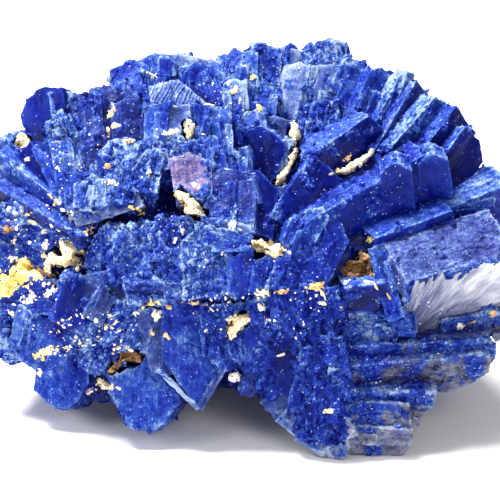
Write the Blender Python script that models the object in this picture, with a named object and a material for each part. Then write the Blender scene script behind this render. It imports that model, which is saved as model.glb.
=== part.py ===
"""Azurite specimen: rosettes of intergrown tabular crystals, with clay and limonite in the gaps.

The front crystals are laid out on a display plane that leans back by LEAN from upright.
A place on it is (across, up, out) in millimetres: across to the right, up along the plane,
and out of the plane towards whoever looks at the specimen.  World axes are X to the right,
Y to the rear and Z up, with the sawn base at Z = 0.
"""

import math
import random

import bmesh
import bpy
from mathutils import Matrix, Vector

MM = 0.001

# Driving dimensions
LEAN = math.radians(22.0)        # how far the display plane leans back
LIFT = 25.8 * MM                 # height of the display plane's middle above the base
SHIFT_X = 0.039 * MM              # centres the specimen's box left to right
SHIFT_Y = -2.472 * MM            # and front to rear
GAP = 0.3 * MM                   # clearance between the crystals and a seated lump
EDGE_BEVEL = 0.12                # bevel along a crystal's long front edges, share of its width
CORNER_SHARE = 0.55              # how far a round tip's extra cut starts from each shoulder
CROWN_SHARE = 0.25               # how much a round tip's peak is cut off, share of its shoulder
SLIMMEST_SEEN = 0.6              # a crystal seen more edge-on than this isn't widened further
WELD = 0.002 * MM                # corners closer together than this are one
FLAT_ANGLE = math.radians(0.5)   # faces that meet at less than this are one
FLOOR_BLOCK = (200.0, 200.0, 100.0)

# Rear blades: millimetres, degrees, and shares of a blade's reach or size
REAR_CENTRE = (0.0, 6.0, 20.0)   # where they radiate from
REAR_REACH = (36.0, 21.0, 22.0)  # how far their tips reach along X, Y and Z
REAR_RINGS = [(-58, 10), (-38, 12), (-19, 13), (0, 13), (19, 12), (37, 11), (54, 9)]  # elevation, count
REAR_ARC = (-6.0, 192.0)         # azimuth where a ring starts, and how far it goes round
REAR_TURN = 4.0                  # a tip strays this much in azimuth
REAR_RISE = 5.0                  # and this much in elevation
REAR_SKEW = 14.0                 # and its root strays this much from under the tip
REAR_TIP = (0.92, 1.06)
REAR_ROOT = 0.42
REAR_WIDTH = (5.6, 10.0)
REAR_THICKNESS = (4.65, 7.75)
REAR_SHOULDERS = ((0.6, 4.5), (0.6, 3.0))
REAR_TAPER = 0.8
SEED = 29

# Front crystals: name, root (across, up, out), tip (across, up, out), width across the view,
# thickness, yaw and pitch of the broad face in degrees, left and right shoulder of the tip,
# and the root's width as a share of the tip's.
CRYSTALS = [
    # fan of the upper right
    ("thumb_rim", (2.6, 9.6, 4.1), (-0.9, 22.0, 1.3), 5.8, 7, (-10, -14), (3.4, 0.4), 0.9),
    ("thumb", (4.4, 8.5, 6), (0.6, 20.2, 3.2), 8.4, 8, (-10, -14), (2.4, 3.6), 0.75),
    ("thumb_side", (6.2, 11.2, 5.8), (5.2, 17.4, 4.4), 3.2, 5, (-4, -14), (0.8, 0.8), 0.9),
    ("thumb_back", (6.4, 12, 2.4), (3.6, 21.4, 1.2), 6.8, 7, (10, -14), (0, 2.0), 0.9),
    ("plate_lavender", (3.4, 17, -3), (8.0, 30.2, -7), 4.6, 7, (-14, 0), (1.2, 0.4), 0.9),
    ("plate_stripe", (7.4, 16.5, -2.6), (11.2, 29.6, -6.8), 3.2, 6, (10, -4), (0.6, 0.8), 0.9),
    ("plate_grey", (12.6, 17, -3), (14.8, 30.0, -7.6), 7.4, 8, (6, -8), (1.0, 1.6), 0.9),
    ("rough_cap", (12.0, 22, -8), (12.3, 34.4, -11.5), 8.4, 8, (0, -6), (2.6, 3.2), 0.9),
    ("slate_behind", (9.6, 22, -9), (9.6, 32.6, -12), 5.0, 7, (-20, -10), (1.5, 0.5), 0.9),
    ("rough_pale", (11, 11, 3), (12.0, 24.0, -0.5), 8.4, 8, (-5, -4), (1.4, 1.8), 0.9),
    ("navy_block", (10.5, 11.6, 6), (21.6, 19.0, 1), 7.2, 8, (6, -26), (1.5, 1.0), 0.9),
    ("rim_a", (15, 18, -3), (18.6, 30.6, -8), 6.0, 8, (10, -15), (1.8, 1.2), 0.85),
    ("rim_b", (17, 17, -1), (23.0, 29.2, -7), 6.4, 8, (14, -18), (2.0, 1.0), 0.85),
    ("rim_c", (20, 15.5, 0), (26.9, 27.5, -6), 5.6, 8, (18, -18), (1.4, 1.6), 0.85),
    ("olive_face", (21.5, 14, 2), (28.6, 25.2, -4), 5.4, 8, (16, -24), (0.6, 0.6), 0.9),
    ("strip_c", (23, 13.5, 3.5), (31.8, 22.9, -2), 5.4, 8, (12, -28), (1.0, 0.8), 0.9),
    ("dark_d", (27, 11.5, 4.5), (34.6, 20.8, 0), 5.4, 8, (14, -28), (0.6, 0.6), 0.9),
    ("dark_e", (29.0, 7.5, 6), (36.6, 18.0, 1), 6.0, 9, (14, -28), (0.6, 2.2), 0.9),
    ("long_blade", (11, 0.5, 12.5), (31.2, 11.2, 6), 10.4, 9, (4, -26), (1.2, 0.6), 0.85),
    ("thumb_f1", (23.8, 4.6, 7.9), (22.9, 14.0, 12.9), 5.2, 4.5, (4, -28), (2.0, 2.0), 0.95),
    ("thumb_f2", (30.0, 6.5, 5.2), (28.8, 15.4, 10.2), 5.2, 4.5, (10, -28), (2.0, 2.0), 0.95),
    ("blade_g", (24, 0.5, 9), (42.2, 7.6, 2), 6.2, 6.5, (4, -34), (0.5, 0.5), 0.95),
    ("blade_small", (20, -0.4, 12.5), (32.5, 4.0, 8.5), 4.4, 7, (4, -30), (0.4, 0.4), 0.95),
    ("big_block", (24.2, -9.6, 14.5), (42.4, -5.0, 9), 9.6, 10.5, (4, -44), (0.8, 0.5), 0.98),
    ("under_block", (30, -12.6, 9.5), (42.2, -11.2, 6), 3.4, 8, (4, -30), (0.6, 1.8), 0.95),
    ("upright_a", (25, -13, 15), (23.6, -0.6, 11), 2.8, 10, (12, -18), (1.0, 0.5), 0.9),
    ("upright_b", (24, -12, 15.5), (21.6, 0.2, 12), 2.8, 10, (8, -18), (1.0, 0.5), 0.9),
    ("upright_c", (23, -11, 16), (19.8, 0.6, 13), 2.8, 10, (0, -18), (1.0, 0.5), 0.9),
    ("navy_c2", (5.6, 4.0, 12), (12.2, 13.2, 7.6), 6.4, 8, (-2, -14), (0.4, 0.4), 0.9),
    ("facet_c3", (5, 0, 13), (5.6, 10.6, 8), 5.8, 7, (-12, -10), (1.4, 0.8), 0.9),
    ("facet_c3b", (2, 0, 13), (1.6, 10.4, 8), 5.4, 7, (14, -14), (0.8, 0.8), 0.9),
    ("big_c4", (6.5, -7.5, 17.5), (12.4, 6.4, 13), 10.4, 10, (2, -12), (2.6, 2.2), 0.8),
    ("hollow_c5", (15.5, -6, 12), (17.0, 3.0, 10), 8.0, 9, (2, -16), (2.6, 2.2), 0.9),
    ("block_i", (11, -12.5, 16), (24.0, -9.6, 13), 7.4, 10, (0, -14), (1.0, 2.0), 0.9),
    ("dark_i", (15, -8.4, 16), (22.4, -7.4, 14.5), 4.6, 8, (12, -24), (1.0, 1.8), 0.9),
    # ledges and bottom lobe of the lower right
    ("long_j", (8, -18.0, 16), (39.2, -16.9, 10), 5.6, 4.5, (4, -20), (1.2, 2.6), 0.95),
    ("long_j2", (12, -21.5, 14.5), (38.2, -19.2, 8.5), 6.0, 8, (6, -44), (0.8, 4.0), 0.95),
    ("ledge_l", (14, -24.4, 14), (29.2, -24.6, 11), 4.4, 11, (6, -40), (0.6, 2.6), 0.95),
    ("lobe_m1", (9, -26.0, 14.4), (25.6, -27.6, 13.5), 6.6, 12, (4, -16), (0.8, 1.2), 0.85),
    ("lobe_m2", (10, -29.2, 13), (25.4, -31.0, 12.5), 5.4, 12, (4, -34), (0.6, 2.0), 0.7),
    ("lobe_m3", (10, -27, 13.5), (15.0, -33.2, 13), 6.4, 9, (-6, -30), (2.4, 1.6), 0.95),
    ("rib_a", (9, -21, 14), (2.9, -25.7, 10), 4.2, 8, (-20, -30), (0.8, 0.8), 0.9),
    ("rib_b", (10, -23, 14), (5.6, -28.3, 10.5), 4.2, 8, (-20, -30), (0.8, 0.8), 0.9),
    ("rib_c", (11, -25, 14), (9.0, -31.0, 11.5), 4.4, 8, (-16, -30), (0.8, 0.8), 0.9),
    # broad facets of the centre
    ("centre_g1", (-3.4, 2, 15), (-4.4, 13.2, 10.4), 10.4, 9, (-4, -12), (3.2, 2.0), 0.85),
    ("centre_g2", (0.4, 1, 14.6), (1.4, 12.6, 9.8), 7.0, 8, (14, -14), (0.8, 2.6), 0.9),
    ("pink_plate", (-8.8, 8, 12.4), (-9.6, 15.8, 9), 6.8, 7, (-6, -2), (0.8, 2.8), 0.9),
    ("sparkly_wedge", (-2.2, 9, 8), (-2.7, 16.5, 5.4), 4.8, 7, (-4, -4), (1.6, 1.4), 0.9),
    # plates and prisms along the top
    ("comb_plate", (-11.4, 20, 3), (-11.6, 27.4, 0), 9.4, 8, (-8, 4), (0.8, 4.6), 0.9),
    ("lamellae_blue", (-7.2, 20.5, 1), (-7.2, 30.2, -4), 8.0, 9, (4, -8), (1.2, 1.0), 0.9),
    ("plate_top", (-11, 22, -8), (-11.6, 31.9, -11), 13.4, 9, (0, 0), (1.2, 2.0), 0.98),
    ("top_low", (-3.5, 22, -8), (-4.0, 31.6, -11), 8, 9, (0, -6), (1.4, 2.0), 0.98),
    ("top_a", (-1, 19, -2), (-1.8, 32.4, -7), 6.0, 8, (-6, -10), (1.6, 1.2), 0.85),
    ("top_b", (2, 19, -3), (2.0, 33.7, -8), 6.4, 8, (4, -10), (1.6, 1.6), 0.85),
    ("top_c", (6, 21, -9), (6.2, 33.1, -12), 6.4, 8, (8, -10), (1.0, 1.2), 0.85),
    ("top_stripe", (-2.6, 18, 1), (-2.6, 27.6, -2), 3.4, 7, (-4, -8), (1.2, 1.2), 0.9),
    ("top_d", (1.4, 16, 0), (1.6, 27.0, -3), 5.6, 7, (2, -12), (1.2, 1.2), 0.9),
    ("row_a", (-14.8, 15, 7), (-14.8, 23.2, 4.5), 4.4, 6, (-6, -8), (0.8, 0.8), 0.95),
    ("row_b", (-11.6, 15, 7.3), (-11.6, 23.0, 5), 4.2, 6, (-4, -4), (0.4, 0.6), 0.95),
    ("row_c", (-8.4, 15, 7), (-8.4, 23.2, 4), 4.2, 6, (0, -8), (0.6, 0.6), 0.95),
    ("row_d", (-5.2, 15, 6), (-5.4, 23.0, 3), 4.6, 6, (4, -10), (0.6, 0.8), 0.95),
    ("row_e", (-3.6, 14.5, 4), (-3.4, 22.0, 0.6), 3.8, 6, (6, -12), (0.8, 0.8), 0.95),
    ("mid_a", (-11.6, 11, 8.5), (-12.2, 18.2, 6.5), 6.4, 6, (-6, -6), (0.8, 0.8), 0.95),
    ("mid_b", (-7.2, 11.5, 8.5), (-6.8, 18.4, 5.5), 6.4, 6, (2, -8), (1.0, 1.0), 0.95),
    # upper left
    ("dark_ul", (-31.5, 11.5, -1), (-34.0, 26.4, -5), 7.8, 8, (-20, -14), (2.6, 1.4), 0.85),
    ("facet_ul", (-28.6, 14, 0), (-30.1, 25.6, -4), 4.8, 8, (6, -8), (0.8, 1.0), 0.9),
    ("sparkle_ul", (-28.2, 9, 5), (-30.6, 22.0, 2.5), 4.8, 7, (0, -4), (1.4, 1.0), 0.9),
    ("slate_blade", (-24.4, 11, 6), (-26.4, 25.4, 0), 5.0, 8, (10, -12), (0.8, 1.2), 0.9),
    ("slate_b", (-22.0, 17, 2), (-22.6, 26.6, -3), 6.0, 8, (8, -12), (0.8, 1.0), 0.9),
    ("lump_top", (-19.4, 19, -2), (-19.4, 30.9, -7), 6.6, 9, (-4, -8), (1.8, 1.4), 0.9),
    ("lump_top_b", (-15.4, 19, -4), (-14.8, 32.1, -9), 6.4, 9, (4, -8), (1.8, 1.0), 0.9),
    ("navy_facet", (-19.4, 15, 5), (-19.6, 24.2, 2), 5.4, 7, (4, -10), (0.8, 0.6), 0.9),
    ("between_a", (-28.2, 6.5, 8), (-30.2, 17.4, 4.5), 3.6, 7, (2, -8), (1.0, 1.0), 0.9),
    ("between_b", (-28.6, 6.6, 7.6), (-33.2, 17.0, 2.6), 3.6, 7, (-8, -12), (1.0, 0.8), 0.9),
    ("between_c", (-29.0, 6.2, 7), (-36.4, 16.0, 0.6), 3.6, 7, (-16, -16), (1.0, 0.8), 0.9),
    ("pale_u2", (-25.4, 6.8, 11), (-25.2, 11.8, 9.6), 5.2, 7, (-10, 2), (1.4, 1.0), 0.95),
    ("pale_u1", (-21.8, 7.8, 11.6), (-19.6, 18.6, 5.4), 8.0, 9, (-8, 4), (2.8, 2.4), 0.85),
    ("pale_u0", (-17.4, 9.2, 11.4), (-16.0, 17.2, 7), 6.0, 8, (2, 0), (1.8, 1.6), 0.9),
    ("ledge_u3", (-28.0, 4.8, 9.6), (-17.4, 8.2, 11.0), 2.8, 5, (-4, 6), (0.4, 0.8), 0.95),
    # blades and blocks of the left edge
    ("blade_l1", (-27.5, 3.0, 8), (-41.6, 13.6, -2), 5.0, 10, (-24, -26), (0.6, 0.6), 0.95),
    ("blade_l0", (-28.5, 7.6, 4), (-41.6, 15.4, -5), 6.4, 8, (-22, -20), (1.0, 0.6), 0.95),
    ("blade_l2", (-27.0, -0.5, 9), (-42, 7.6, -1), 6.0, 11, (-28, -32), (0.6, 0.6), 0.95),
    ("speckled_l", (-28.0, -4, 8), (-42.2, 2.4, -1), 10.4, 12, (-24, -14), (0.8, 0.8), 0.95),
    ("left_block", (-28, -11.4, 6), (-42, -12.4, -1), 11.6, 14, (-22, -10), (1.4, 2.4), 0.95),
    ("left_block2", (-30, -7.5, 7.5), (-42, -7.2, 0), 6.0, 10, (-18, -6), (0.6, 0.6), 0.95),
    # rough dome left of the centre
    ("dome_a", (-20.6, -8, 10.4), (-22.8, 4.2, 10.4), 8.8, 10, (-22, -4), (2.6, 1.2), 0.95),
    ("dome_b", (-14.0, -8, 14.4), (-15.4, 5.2, 12.4), 11.6, 10, (-8, 4), (3.4, 2.6), 0.95),
    ("dome_c", (-9.5, -7, 15.6), (-10.6, 5.4, 13.4), 8.4, 10, (-2, 2), (2.6, 2.0), 0.95),
    ("dome_d", (-5.4, -7.4, 16.4), (-6.4, 4.4, 14.4), 10.0, 10, (4, 0), (2.0, 2.6), 0.95),
    ("dome_e", (-7.6, 2.4, 15.4), (0.6, 0.4, 15.8), 3.0, 8, (6, 10), (0.8, 0.8), 0.95),
    ("dome_f", (-1.0, -7.0, 17.0), (-0.8, -0.4, 16.4), 5.2, 8, (8, -12), (1.0, 1.6), 0.95),
    ("dome_g", (3.6, -7.0, 16.8), (3.4, -0.4, 15.4), 5.4, 9, (12, -8), (1.4, 1.0), 0.95),
    ("dome_low", (-22, -3, 11), (-20.8, -8.4, 11.5), 10.4, 10, (-10, -18), (1.0, 1.0), 0.95),
    ("dome_low2", (-19.6, -6.6, 13.4), (-8.2, -6.8, 15.6), 3.0, 8, (-6, -24), (0.6, 0.8), 0.95),
    ("ledge_lav", (-8.4, 4.0, 14.2), (0.0, 2.6, 15.0), 2.6, 7, (2, -6), (0.6, 0.8), 0.95),
    # lobes of the lower left
    ("lump_e", (-8.4, -7.5, 14), (-8.2, -25.0, 12), 11.5, 13, (0, -8), (9, 8), 0.95),
    ("lump_e2", (-4.0, -8.5, 15), (-3.6, -19.0, 14), 7.6, 10, (8, -6), (3, 2.4), 0.95),
    ("rim_e1", (-14.6, -19.0, 12.9), (-8.2, -25.2, 12.3), 0.5, 6, (-10, -8), (0.1, 0.1), 0.95),
    ("rim_e2", (-3.4, -17.4, 13.4), (-7.9, -25.0, 12.4), 1.1, 6, (8, -8), (0.2, 0.2), 0.95),
    ("hollow_e", (1, -9, 12), (0.5, -18.5, 9), 6.0, 8, (0, -20), (1, 1.4), 0.95),
    ("lobe_f", (-16.6, -13, 10), (-16.8, -29.4, 10), 11.4, 12, (-6, -12), (3.6, 4.2), 0.95),
    ("lobe_g", (-30, -13, 4), (-30.0, -25.9, 4), 8.8, 11, (-14, -14), (3.0, 2.4), 0.95),
    ("rhombus", (-26.4, -4.2, 10), (-28.4, -12.8, 10.5), 6.4, 8, (4, -18), (2.8, 1.2), 0.9),
    ("facet_grey", (-22.4, -6.8, 12), (-24.9, -11.2, 11.7), 3.4, 6, (6, -14), (0.8, 0.8), 0.9),
    ("granular_a", (-23, -9, 11), (-26.4, -16.4, 8), 7.4, 9, (-6, -8), (1.2, 1.2), 0.95),
    ("granular_b", (-17.6, -9, 12), (-20.0, -16.4, 10.5), 7.4, 9, (-2, -8), (1.2, 1.2), 0.95),
    ("granular_c", (-22, -13, 9), (-23.4, -20.4, 7), 8.4, 9, (-4, -10), (1.2, 1.2), 0.95),
    ("hollow_g", (-23, -17, 4), (-23.4, -24.6, 3), 6.4, 9, (-4, -10), (1.2, 1.2), 0.95),
    ("left_mid", (-32, -11, 5), (-35.2, -19.0, 2), 8.0, 10, (-16, -12), (1.2, 1.8), 0.95),
    ("side_f", (-14.8, -9, 12.4), (-12.0, -19.8, 12), 7.0, 9, (-8, -14), (1.2, 1.2), 0.95),
    ("tip_e3", (1.2, -16, 13.4), (0.2, -23.2, 11.6), 3.6, 9, (12, -14), (1.6, 1.0), 0.95),
]

# Crystals whose tips are worn round
ROUNDED = (
    "thumb", "thumb_rim", "dark_ul", "thumb_f1", "thumb_f2", "lump_top", "lump_top_b", "rough_pale",
    "pale_u1", "dome_a", "dome_b", "dome_d", "lobe_f", "lobe_g", "left_mid", "lobe_m1",
    "lobe_m2", "lobe_m3", "long_j", "long_j2", "ledge_l", "big_c4", "left_block", "top_b", "top_c",
    "granular_c",
)

# Small scaly crystals below the centre, in rows: middle (across, up, out), direction in degrees
SCALES = [
    ((2.5, -9.5, 16.0), -100), ((6.0, -9.5, 17.0), -92), ((9.5, -9.0, 17.0), -80),
    ((12.5, -10.5, 16.5), -70), ((0.5, -12.5, 15.0), -110), ((4.0, -13.0, 15.5), -100),
    ((7.5, -12.6, 16.0), -90), ((11.0, -13.5, 16.0), -78), ((1.5, -16.5, 14.0), -112),
    ((5.0, -16.8, 14.5), -102), ((9.0, -16.6, 16.0), -92), ((12.6, -17.0, 16.6), -84),
    ((3.0, -20.0, 12.5), -115), ((6.6, -20.3, 14.0), -105), ((10.2, -20.3, 15.6), -96),
    ((13.6, -21.2, 16.2), -88), ((0.0, -18.8, 11.5), -120), ((8.6, -23.6, 14.6), -104),
    ((12.0, -24.4, 15.8), -95), ((9.4, -27.0, 14.0), -112), ((12.6, -27.6, 14.9), -102),
]
SCALE_LENGTH = 6.5
SCALE_WIDTH = 4.6
SCALE_THICKNESS = 6.0
SCALE_SHOULDER = 1.3
SCALE_DROP = 0.55                # the root lies this far above the middle, and the tip below
SCALE_FACING = (-8.0, -14.0)
SCALE_TAPER = 0.95

# Massive azurite that the crystals grow out of: middle (across, up, out) and radii along the same
HEART_DETAIL = 2
HEARTS = [
    ((4.0, -2.0, -7.0), (28.0, 14.0, 16.0)),
    ((1.0, 14.0, -9.0), (23.0, 12.0, 7.0)),
    ((-16.0, -2.0, -3.0), (19.0, 15.0, 12.0)),
    ((13.0, -18.0, 0.0), (15.0, 10.0, 10.0)),
    ((0.0, -13.0, -17.0), (25.0, 11.0, 9.0)),
]

# Clay and limonite in the gaps: name, middle (across, up, out), direction of its length in
# degrees, length, width, depth, and material
LUMPS = [
    ("clay_yellow_wedge", (-37.2, -4.2, 1.4), 14, 9.0, 4.2, 4.0, "yellow_clay"),
    ("clay_left", (-29.6, -1.2, 7.2), 38, 6.5, 4.0, 4.0, "cream_clay"),
    ("clay_upper_left", (-36.8, 16.7, -3.6), 70, 3.6, 2.4, 3.0, "cream_clay"),
    ("clay_centre", (-9.3, 6.9, 12.6), -42, 6.4, 2.2, 4.0, "cream_clay"),
    ("clay_top", (6.8, 18.4, 1.8), 84, 3.6, 1.6, 4.0, "cream_clay"),
    ("clay_diagonal", (5.8, 13.2, 5.6), 60, 6.4, 1.3, 4.0, "cream_clay"),
    ("clay_right_seam", (16.8, 13.9, 5.8), 32, 6.8, 1.4, 4.0, "cream_clay"),
    ("clay_pocket", (3.0, 0.4, 14.6), -18, 5.4, 2.0, 4.0, "cream_clay"),
    ("limonite_pocket", (17.0, -2.8, 11.4), 60, 5.0, 3.6, 4.0, "limonite"),
    ("clay_lower", (-1.8, -11.6, 14.2), 40, 4.6, 2.0, 4.0, "cream_clay"),
    ("clay_row", (-9.9, 19.0, 5.8), 80, 3.0, 1.8, 3.0, "cream_clay"),
    ("limonite_left", (-19.4, -17.2, 8.6), 25, 6.6, 2.6, 4.0, "limonite"),
]

# Directions, along, across and out of a lump, in which its corners and edges are chipped
CHIPS = (
    (1, 1, 0.5), (1, -1, 0.3), (-1, 1, 0.4), (-1, -1, 0.6),
    (1, 0.2, 1), (-1, -0.3, 1), (0.1, 1, 0.9), (-0.2, -1, 0.8),
)
CHIP_DEPTH = 0.72                # where a chip is cut, share of the way out to the corner

COLOURS = {
    "azurite": ((0.030, 0.070, 0.520, 1.0), 0.34),
    "cream_clay": ((0.900, 0.820, 0.560, 1.0), 0.90),
    "yellow_clay": ((0.820, 0.640, 0.160, 1.0), 0.90),
    "limonite": ((0.300, 0.150, 0.040, 1.0), 0.75),
}


def clear_scene():
    for obj in list(bpy.data.objects):
        bpy.data.objects.remove(obj, do_unlink=True)


def new_collection(name):
    collection = bpy.data.collections.new(name)
    bpy.context.scene.collection.children.link(collection)
    return collection


def material(name):
    colour, roughness = COLOURS[name]
    mat = bpy.data.materials.get(name)
    if mat is None:
        mat = bpy.data.materials.new(name)
        mat.use_nodes = True
        shader = mat.node_tree.nodes["Principled BSDF"]
        shader.inputs["Base Color"].default_value = colour
        shader.inputs["Roughness"].default_value = roughness
        shader.inputs["Metallic"].default_value = 0.0
    return mat


def world_point(place):
    """World place, in metres, of (across, up, out) in millimetres."""
    across, up, out = (value * MM for value in place)
    return Vector((
        across + SHIFT_X,
        up * math.sin(LEAN) - out * math.cos(LEAN) + SHIFT_Y,
        up * math.cos(LEAN) + out * math.sin(LEAN) + LIFT,
    ))


def world_direction(direction):
    across, up, out = direction
    return Vector((
        across,
        up * math.sin(LEAN) - out * math.cos(LEAN),
        up * math.cos(LEAN) + out * math.sin(LEAN),
    )).normalized()


def cut_away(bm, point, normal):
    """Cut off what lies beyond a plane and close the cut with a flat face."""
    geometry = bm.verts[:] + bm.edges[:] + bm.faces[:]
    bmesh.ops.bisect_plane(
        bm, geom=geometry, dist=WELD, plane_co=point, plane_no=normal, clear_outer=True,
    )
    rim = [edge for edge in bm.edges if edge.is_boundary]
    if rim:
        bmesh.ops.holes_fill(bm, edges=rim, sides=0)


def add_object(name, bm, collection, mat_name):
    bmesh.ops.recalc_face_normals(bm, faces=bm.faces)
    mesh = bpy.data.meshes.new(name)
    bm.to_mesh(mesh)
    bm.free()
    mesh.materials.append(material(mat_name))
    obj = bpy.data.objects.new(name, mesh)
    collection.objects.link(obj)
    return obj


def crystal_body(root, tip, facing, width, thickness, shoulders, taper, rounded=False):
    """A tabular crystal whose broad face runs from root to tip and looks along facing."""
    axis = (tip - root).normalized()
    length = (tip - root).length
    front = (facing - axis * facing.dot(axis)).normalized()
    side = axis.cross(front)
    bm = bmesh.new()
    bmesh.ops.create_cube(bm, size=1.0)
    frame = Matrix((side, front, axis)).transposed().to_4x4()
    middle = (root + tip) / 2.0 - front * (thickness / 2.0)
    box = Matrix.Diagonal((width, thickness, length, 1.0))
    bmesh.ops.transform(bm, matrix=Matrix.Translation(middle) @ frame @ box, verts=bm.verts)
    bevel = EDGE_BEVEL * min(width, thickness)
    for sign, shoulder in ((-1.0, shoulders[0]), (1.0, shoulders[1])):
        tip_corner = tip + side * (sign * width / 2.0)
        root_corner = root + side * (sign * width * taper / 2.0)
        edge = tip_corner - root_corner
        outward = edge.cross(front) * sign
        cut_away(bm, tip_corner, outward)
        if shoulder > 0.0:
            low = tip_corner - axis * shoulder
            slope = (tip - low).cross(front)
            if slope.dot(axis) < 0.0:
                slope = -slope
            cut_away(bm, low, slope)
        if shoulder > 0.0 and rounded:
            upper = tip.lerp(low, CORNER_SHARE)
            lower = low + (root_corner - low).normalized() * (shoulder * CORNER_SHARE)
            slope = (upper - lower).cross(front)
            if slope.dot(axis) < 0.0:
                slope = -slope
            cut_away(bm, lower, slope)
        inner = tip + side * (sign * (width / 2.0 - bevel))
        rim = tip_corner - front * bevel
        slope = edge.cross(inner - rim)
        if slope.dot(front) < 0.0:
            slope = -slope
        cut_away(bm, inner, slope)
    if rounded:
        cut_away(bm, tip - axis * (CROWN_SHARE * min(shoulders)), axis)
    return bm


def display_facing(yaw, pitch):
    """Direction, on the display plane, that a broad face looks: yaw to the right, pitch up."""
    yaw, pitch = math.radians(yaw), math.radians(pitch)
    across = math.sin(yaw) * math.cos(pitch)
    out = math.cos(yaw) * math.cos(pitch)
    return world_direction((across, math.sin(pitch), out))


def seen_width(root, tip, facing, width):
    """Real width of a crystal that is the given width across the view."""
    axis = (tip - root).normalized()
    front = (facing - axis * facing.dot(axis)).normalized()
    side = axis.cross(front)
    out = world_direction((0.0, 0.0, 1.0))
    flat = (side - out * side.dot(out)).length
    return width / max(SLIMMEST_SEEN, flat)


def front_crystals(growth):
    for name, root, tip, width, thickness, face, shoulders, taper in CRYSTALS:
        start, end = world_point(root), world_point(tip)
        facing = display_facing(*face)
        real_width = seen_width(start, end, facing, width * MM)
        real_shoulders = (shoulders[0] * MM, shoulders[1] * MM)
        rounded = name in ROUNDED
        bm = crystal_body(start, end, facing, real_width, thickness * MM, real_shoulders, taper, rounded)
        add_object(name, bm, growth, "azurite")


def scaly_crystals(growth):
    facing = display_facing(*SCALE_FACING)
    shoulders = (SCALE_SHOULDER * MM, SCALE_SHOULDER * MM)
    for index, (middle, direction) in enumerate(SCALES):
        angle = math.radians(direction)
        half = SCALE_LENGTH / 2.0
        step = (math.cos(angle) * half, math.sin(angle) * half)
        start = world_point((middle[0] - step[0], middle[1] - step[1], middle[2] + SCALE_DROP))
        end = world_point((middle[0] + step[0], middle[1] + step[1], middle[2] - SCALE_DROP))
        width = seen_width(start, end, facing, SCALE_WIDTH * MM)
        bm = crystal_body(start, end, facing, width, SCALE_THICKNESS * MM, shoulders, SCALE_TAPER)
        add_object("scale_%02d" % index, bm, growth, "azurite")


def rear_point(azimuth, elevation, reach):
    """A point of the rear rosette: azimuth 0 is +X and 90 the rear, elevation is up."""
    a, e = math.radians(azimuth), math.radians(elevation)
    direction = (math.cos(a) * math.cos(e), math.sin(a) * math.cos(e), math.sin(e))
    place = [(REAR_CENTRE[i] + REAR_REACH[i] * reach * direction[i]) * MM for i in range(3)]
    return Vector((place[0] + SHIFT_X, place[1] + SHIFT_Y, place[2]))


def rear_crystal(rng, azimuth, elevation):
    tip = rear_point(azimuth, elevation, rng.uniform(*REAR_TIP))
    root_azimuth = azimuth + rng.uniform(-REAR_SKEW, REAR_SKEW)
    root_elevation = elevation + rng.uniform(-REAR_SKEW, REAR_SKEW)
    root = rear_point(root_azimuth, root_elevation, REAR_ROOT)
    axis = (tip - root).normalized()
    facing = Vector((rng.uniform(-0.5, 0.5), rng.uniform(-0.3, 0.5), 1.0))
    facing = (facing - axis * facing.dot(axis)).normalized()
    width = rng.uniform(*REAR_WIDTH) * MM
    thickness = rng.uniform(*REAR_THICKNESS) * MM
    shoulders = [rng.uniform(*limits) * MM for limits in REAR_SHOULDERS]
    centred = facing * (thickness / 2.0)
    return crystal_body(root + centred, tip + centred, facing, width, thickness, shoulders, REAR_TAPER)


def rear_crystals(growth):
    """Blades in rings over the rear, each ring half a step round from the last."""
    rng = random.Random(SEED)
    first, arc = REAR_ARC
    for ring, (elevation, count) in enumerate(REAR_RINGS):
        for index in range(count):
            step = index + 0.5 * (ring % 2) + 0.25
            azimuth = first + arc * step / (count + 0.5) + rng.uniform(-REAR_TURN, REAR_TURN)
            bm = rear_crystal(rng, azimuth, elevation + rng.uniform(-REAR_RISE, REAR_RISE))
            add_object("rear_%d_%02d" % (ring, index), bm, growth, "azurite")


def massive_hearts(growth):
    axes = [world_direction(axis) for axis in ((1, 0, 0), (0, 1, 0), (0, 0, 1))]
    frame = Matrix(axes).transposed().to_4x4()
    for index, (centre, radii) in enumerate(HEARTS):
        bm = bmesh.new()
        bmesh.ops.create_icosphere(bm, subdivisions=HEART_DETAIL, radius=1.0)
        size = Matrix.Diagonal([value * MM for value in radii] + [1.0])
        place = Matrix.Translation(world_point(centre)) @ frame @ size
        bmesh.ops.transform(bm, matrix=place, verts=bm.verts)
        add_object("heart_%d" % index, bm, growth, "azurite")


def lump_body(place, direction, length, width, depth, grow):
    """A chipped block of clay, grown on every side by the given amount."""
    angle = math.radians(direction)
    along = world_direction((math.cos(angle), math.sin(angle), 0.0))
    out = world_direction((0.0, 0.0, 1.0))
    across = out.cross(along)
    bm = bmesh.new()
    bmesh.ops.create_cube(bm, size=1.0)
    size = Vector((length, width, depth)) * MM
    frame = Matrix((along, across, out)).transposed().to_4x4()
    box = Matrix.Diagonal((size.x + 2 * grow, size.y + 2 * grow, size.z + 2 * grow, 1.0))
    centre = world_point(place)
    bmesh.ops.transform(bm, matrix=Matrix.Translation(centre) @ frame @ box, verts=bm.verts)
    for chip in CHIPS:
        normal = along * chip[0] / size.x + across * chip[1] / size.y + out * chip[2] / size.z
        normal.normalize()
        reach = (abs(normal.dot(along)), abs(normal.dot(across)), abs(normal.dot(out)))
        corner = Vector(reach).dot(size) / 2.0
        cut_away(bm, centre + normal * (corner * CHIP_DEPTH + grow), normal)
    return bm


def hide(objects):
    for obj in objects:
        obj.hide_render = True
        obj.hide_viewport = True
        obj.display_type = "WIRE"


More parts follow.
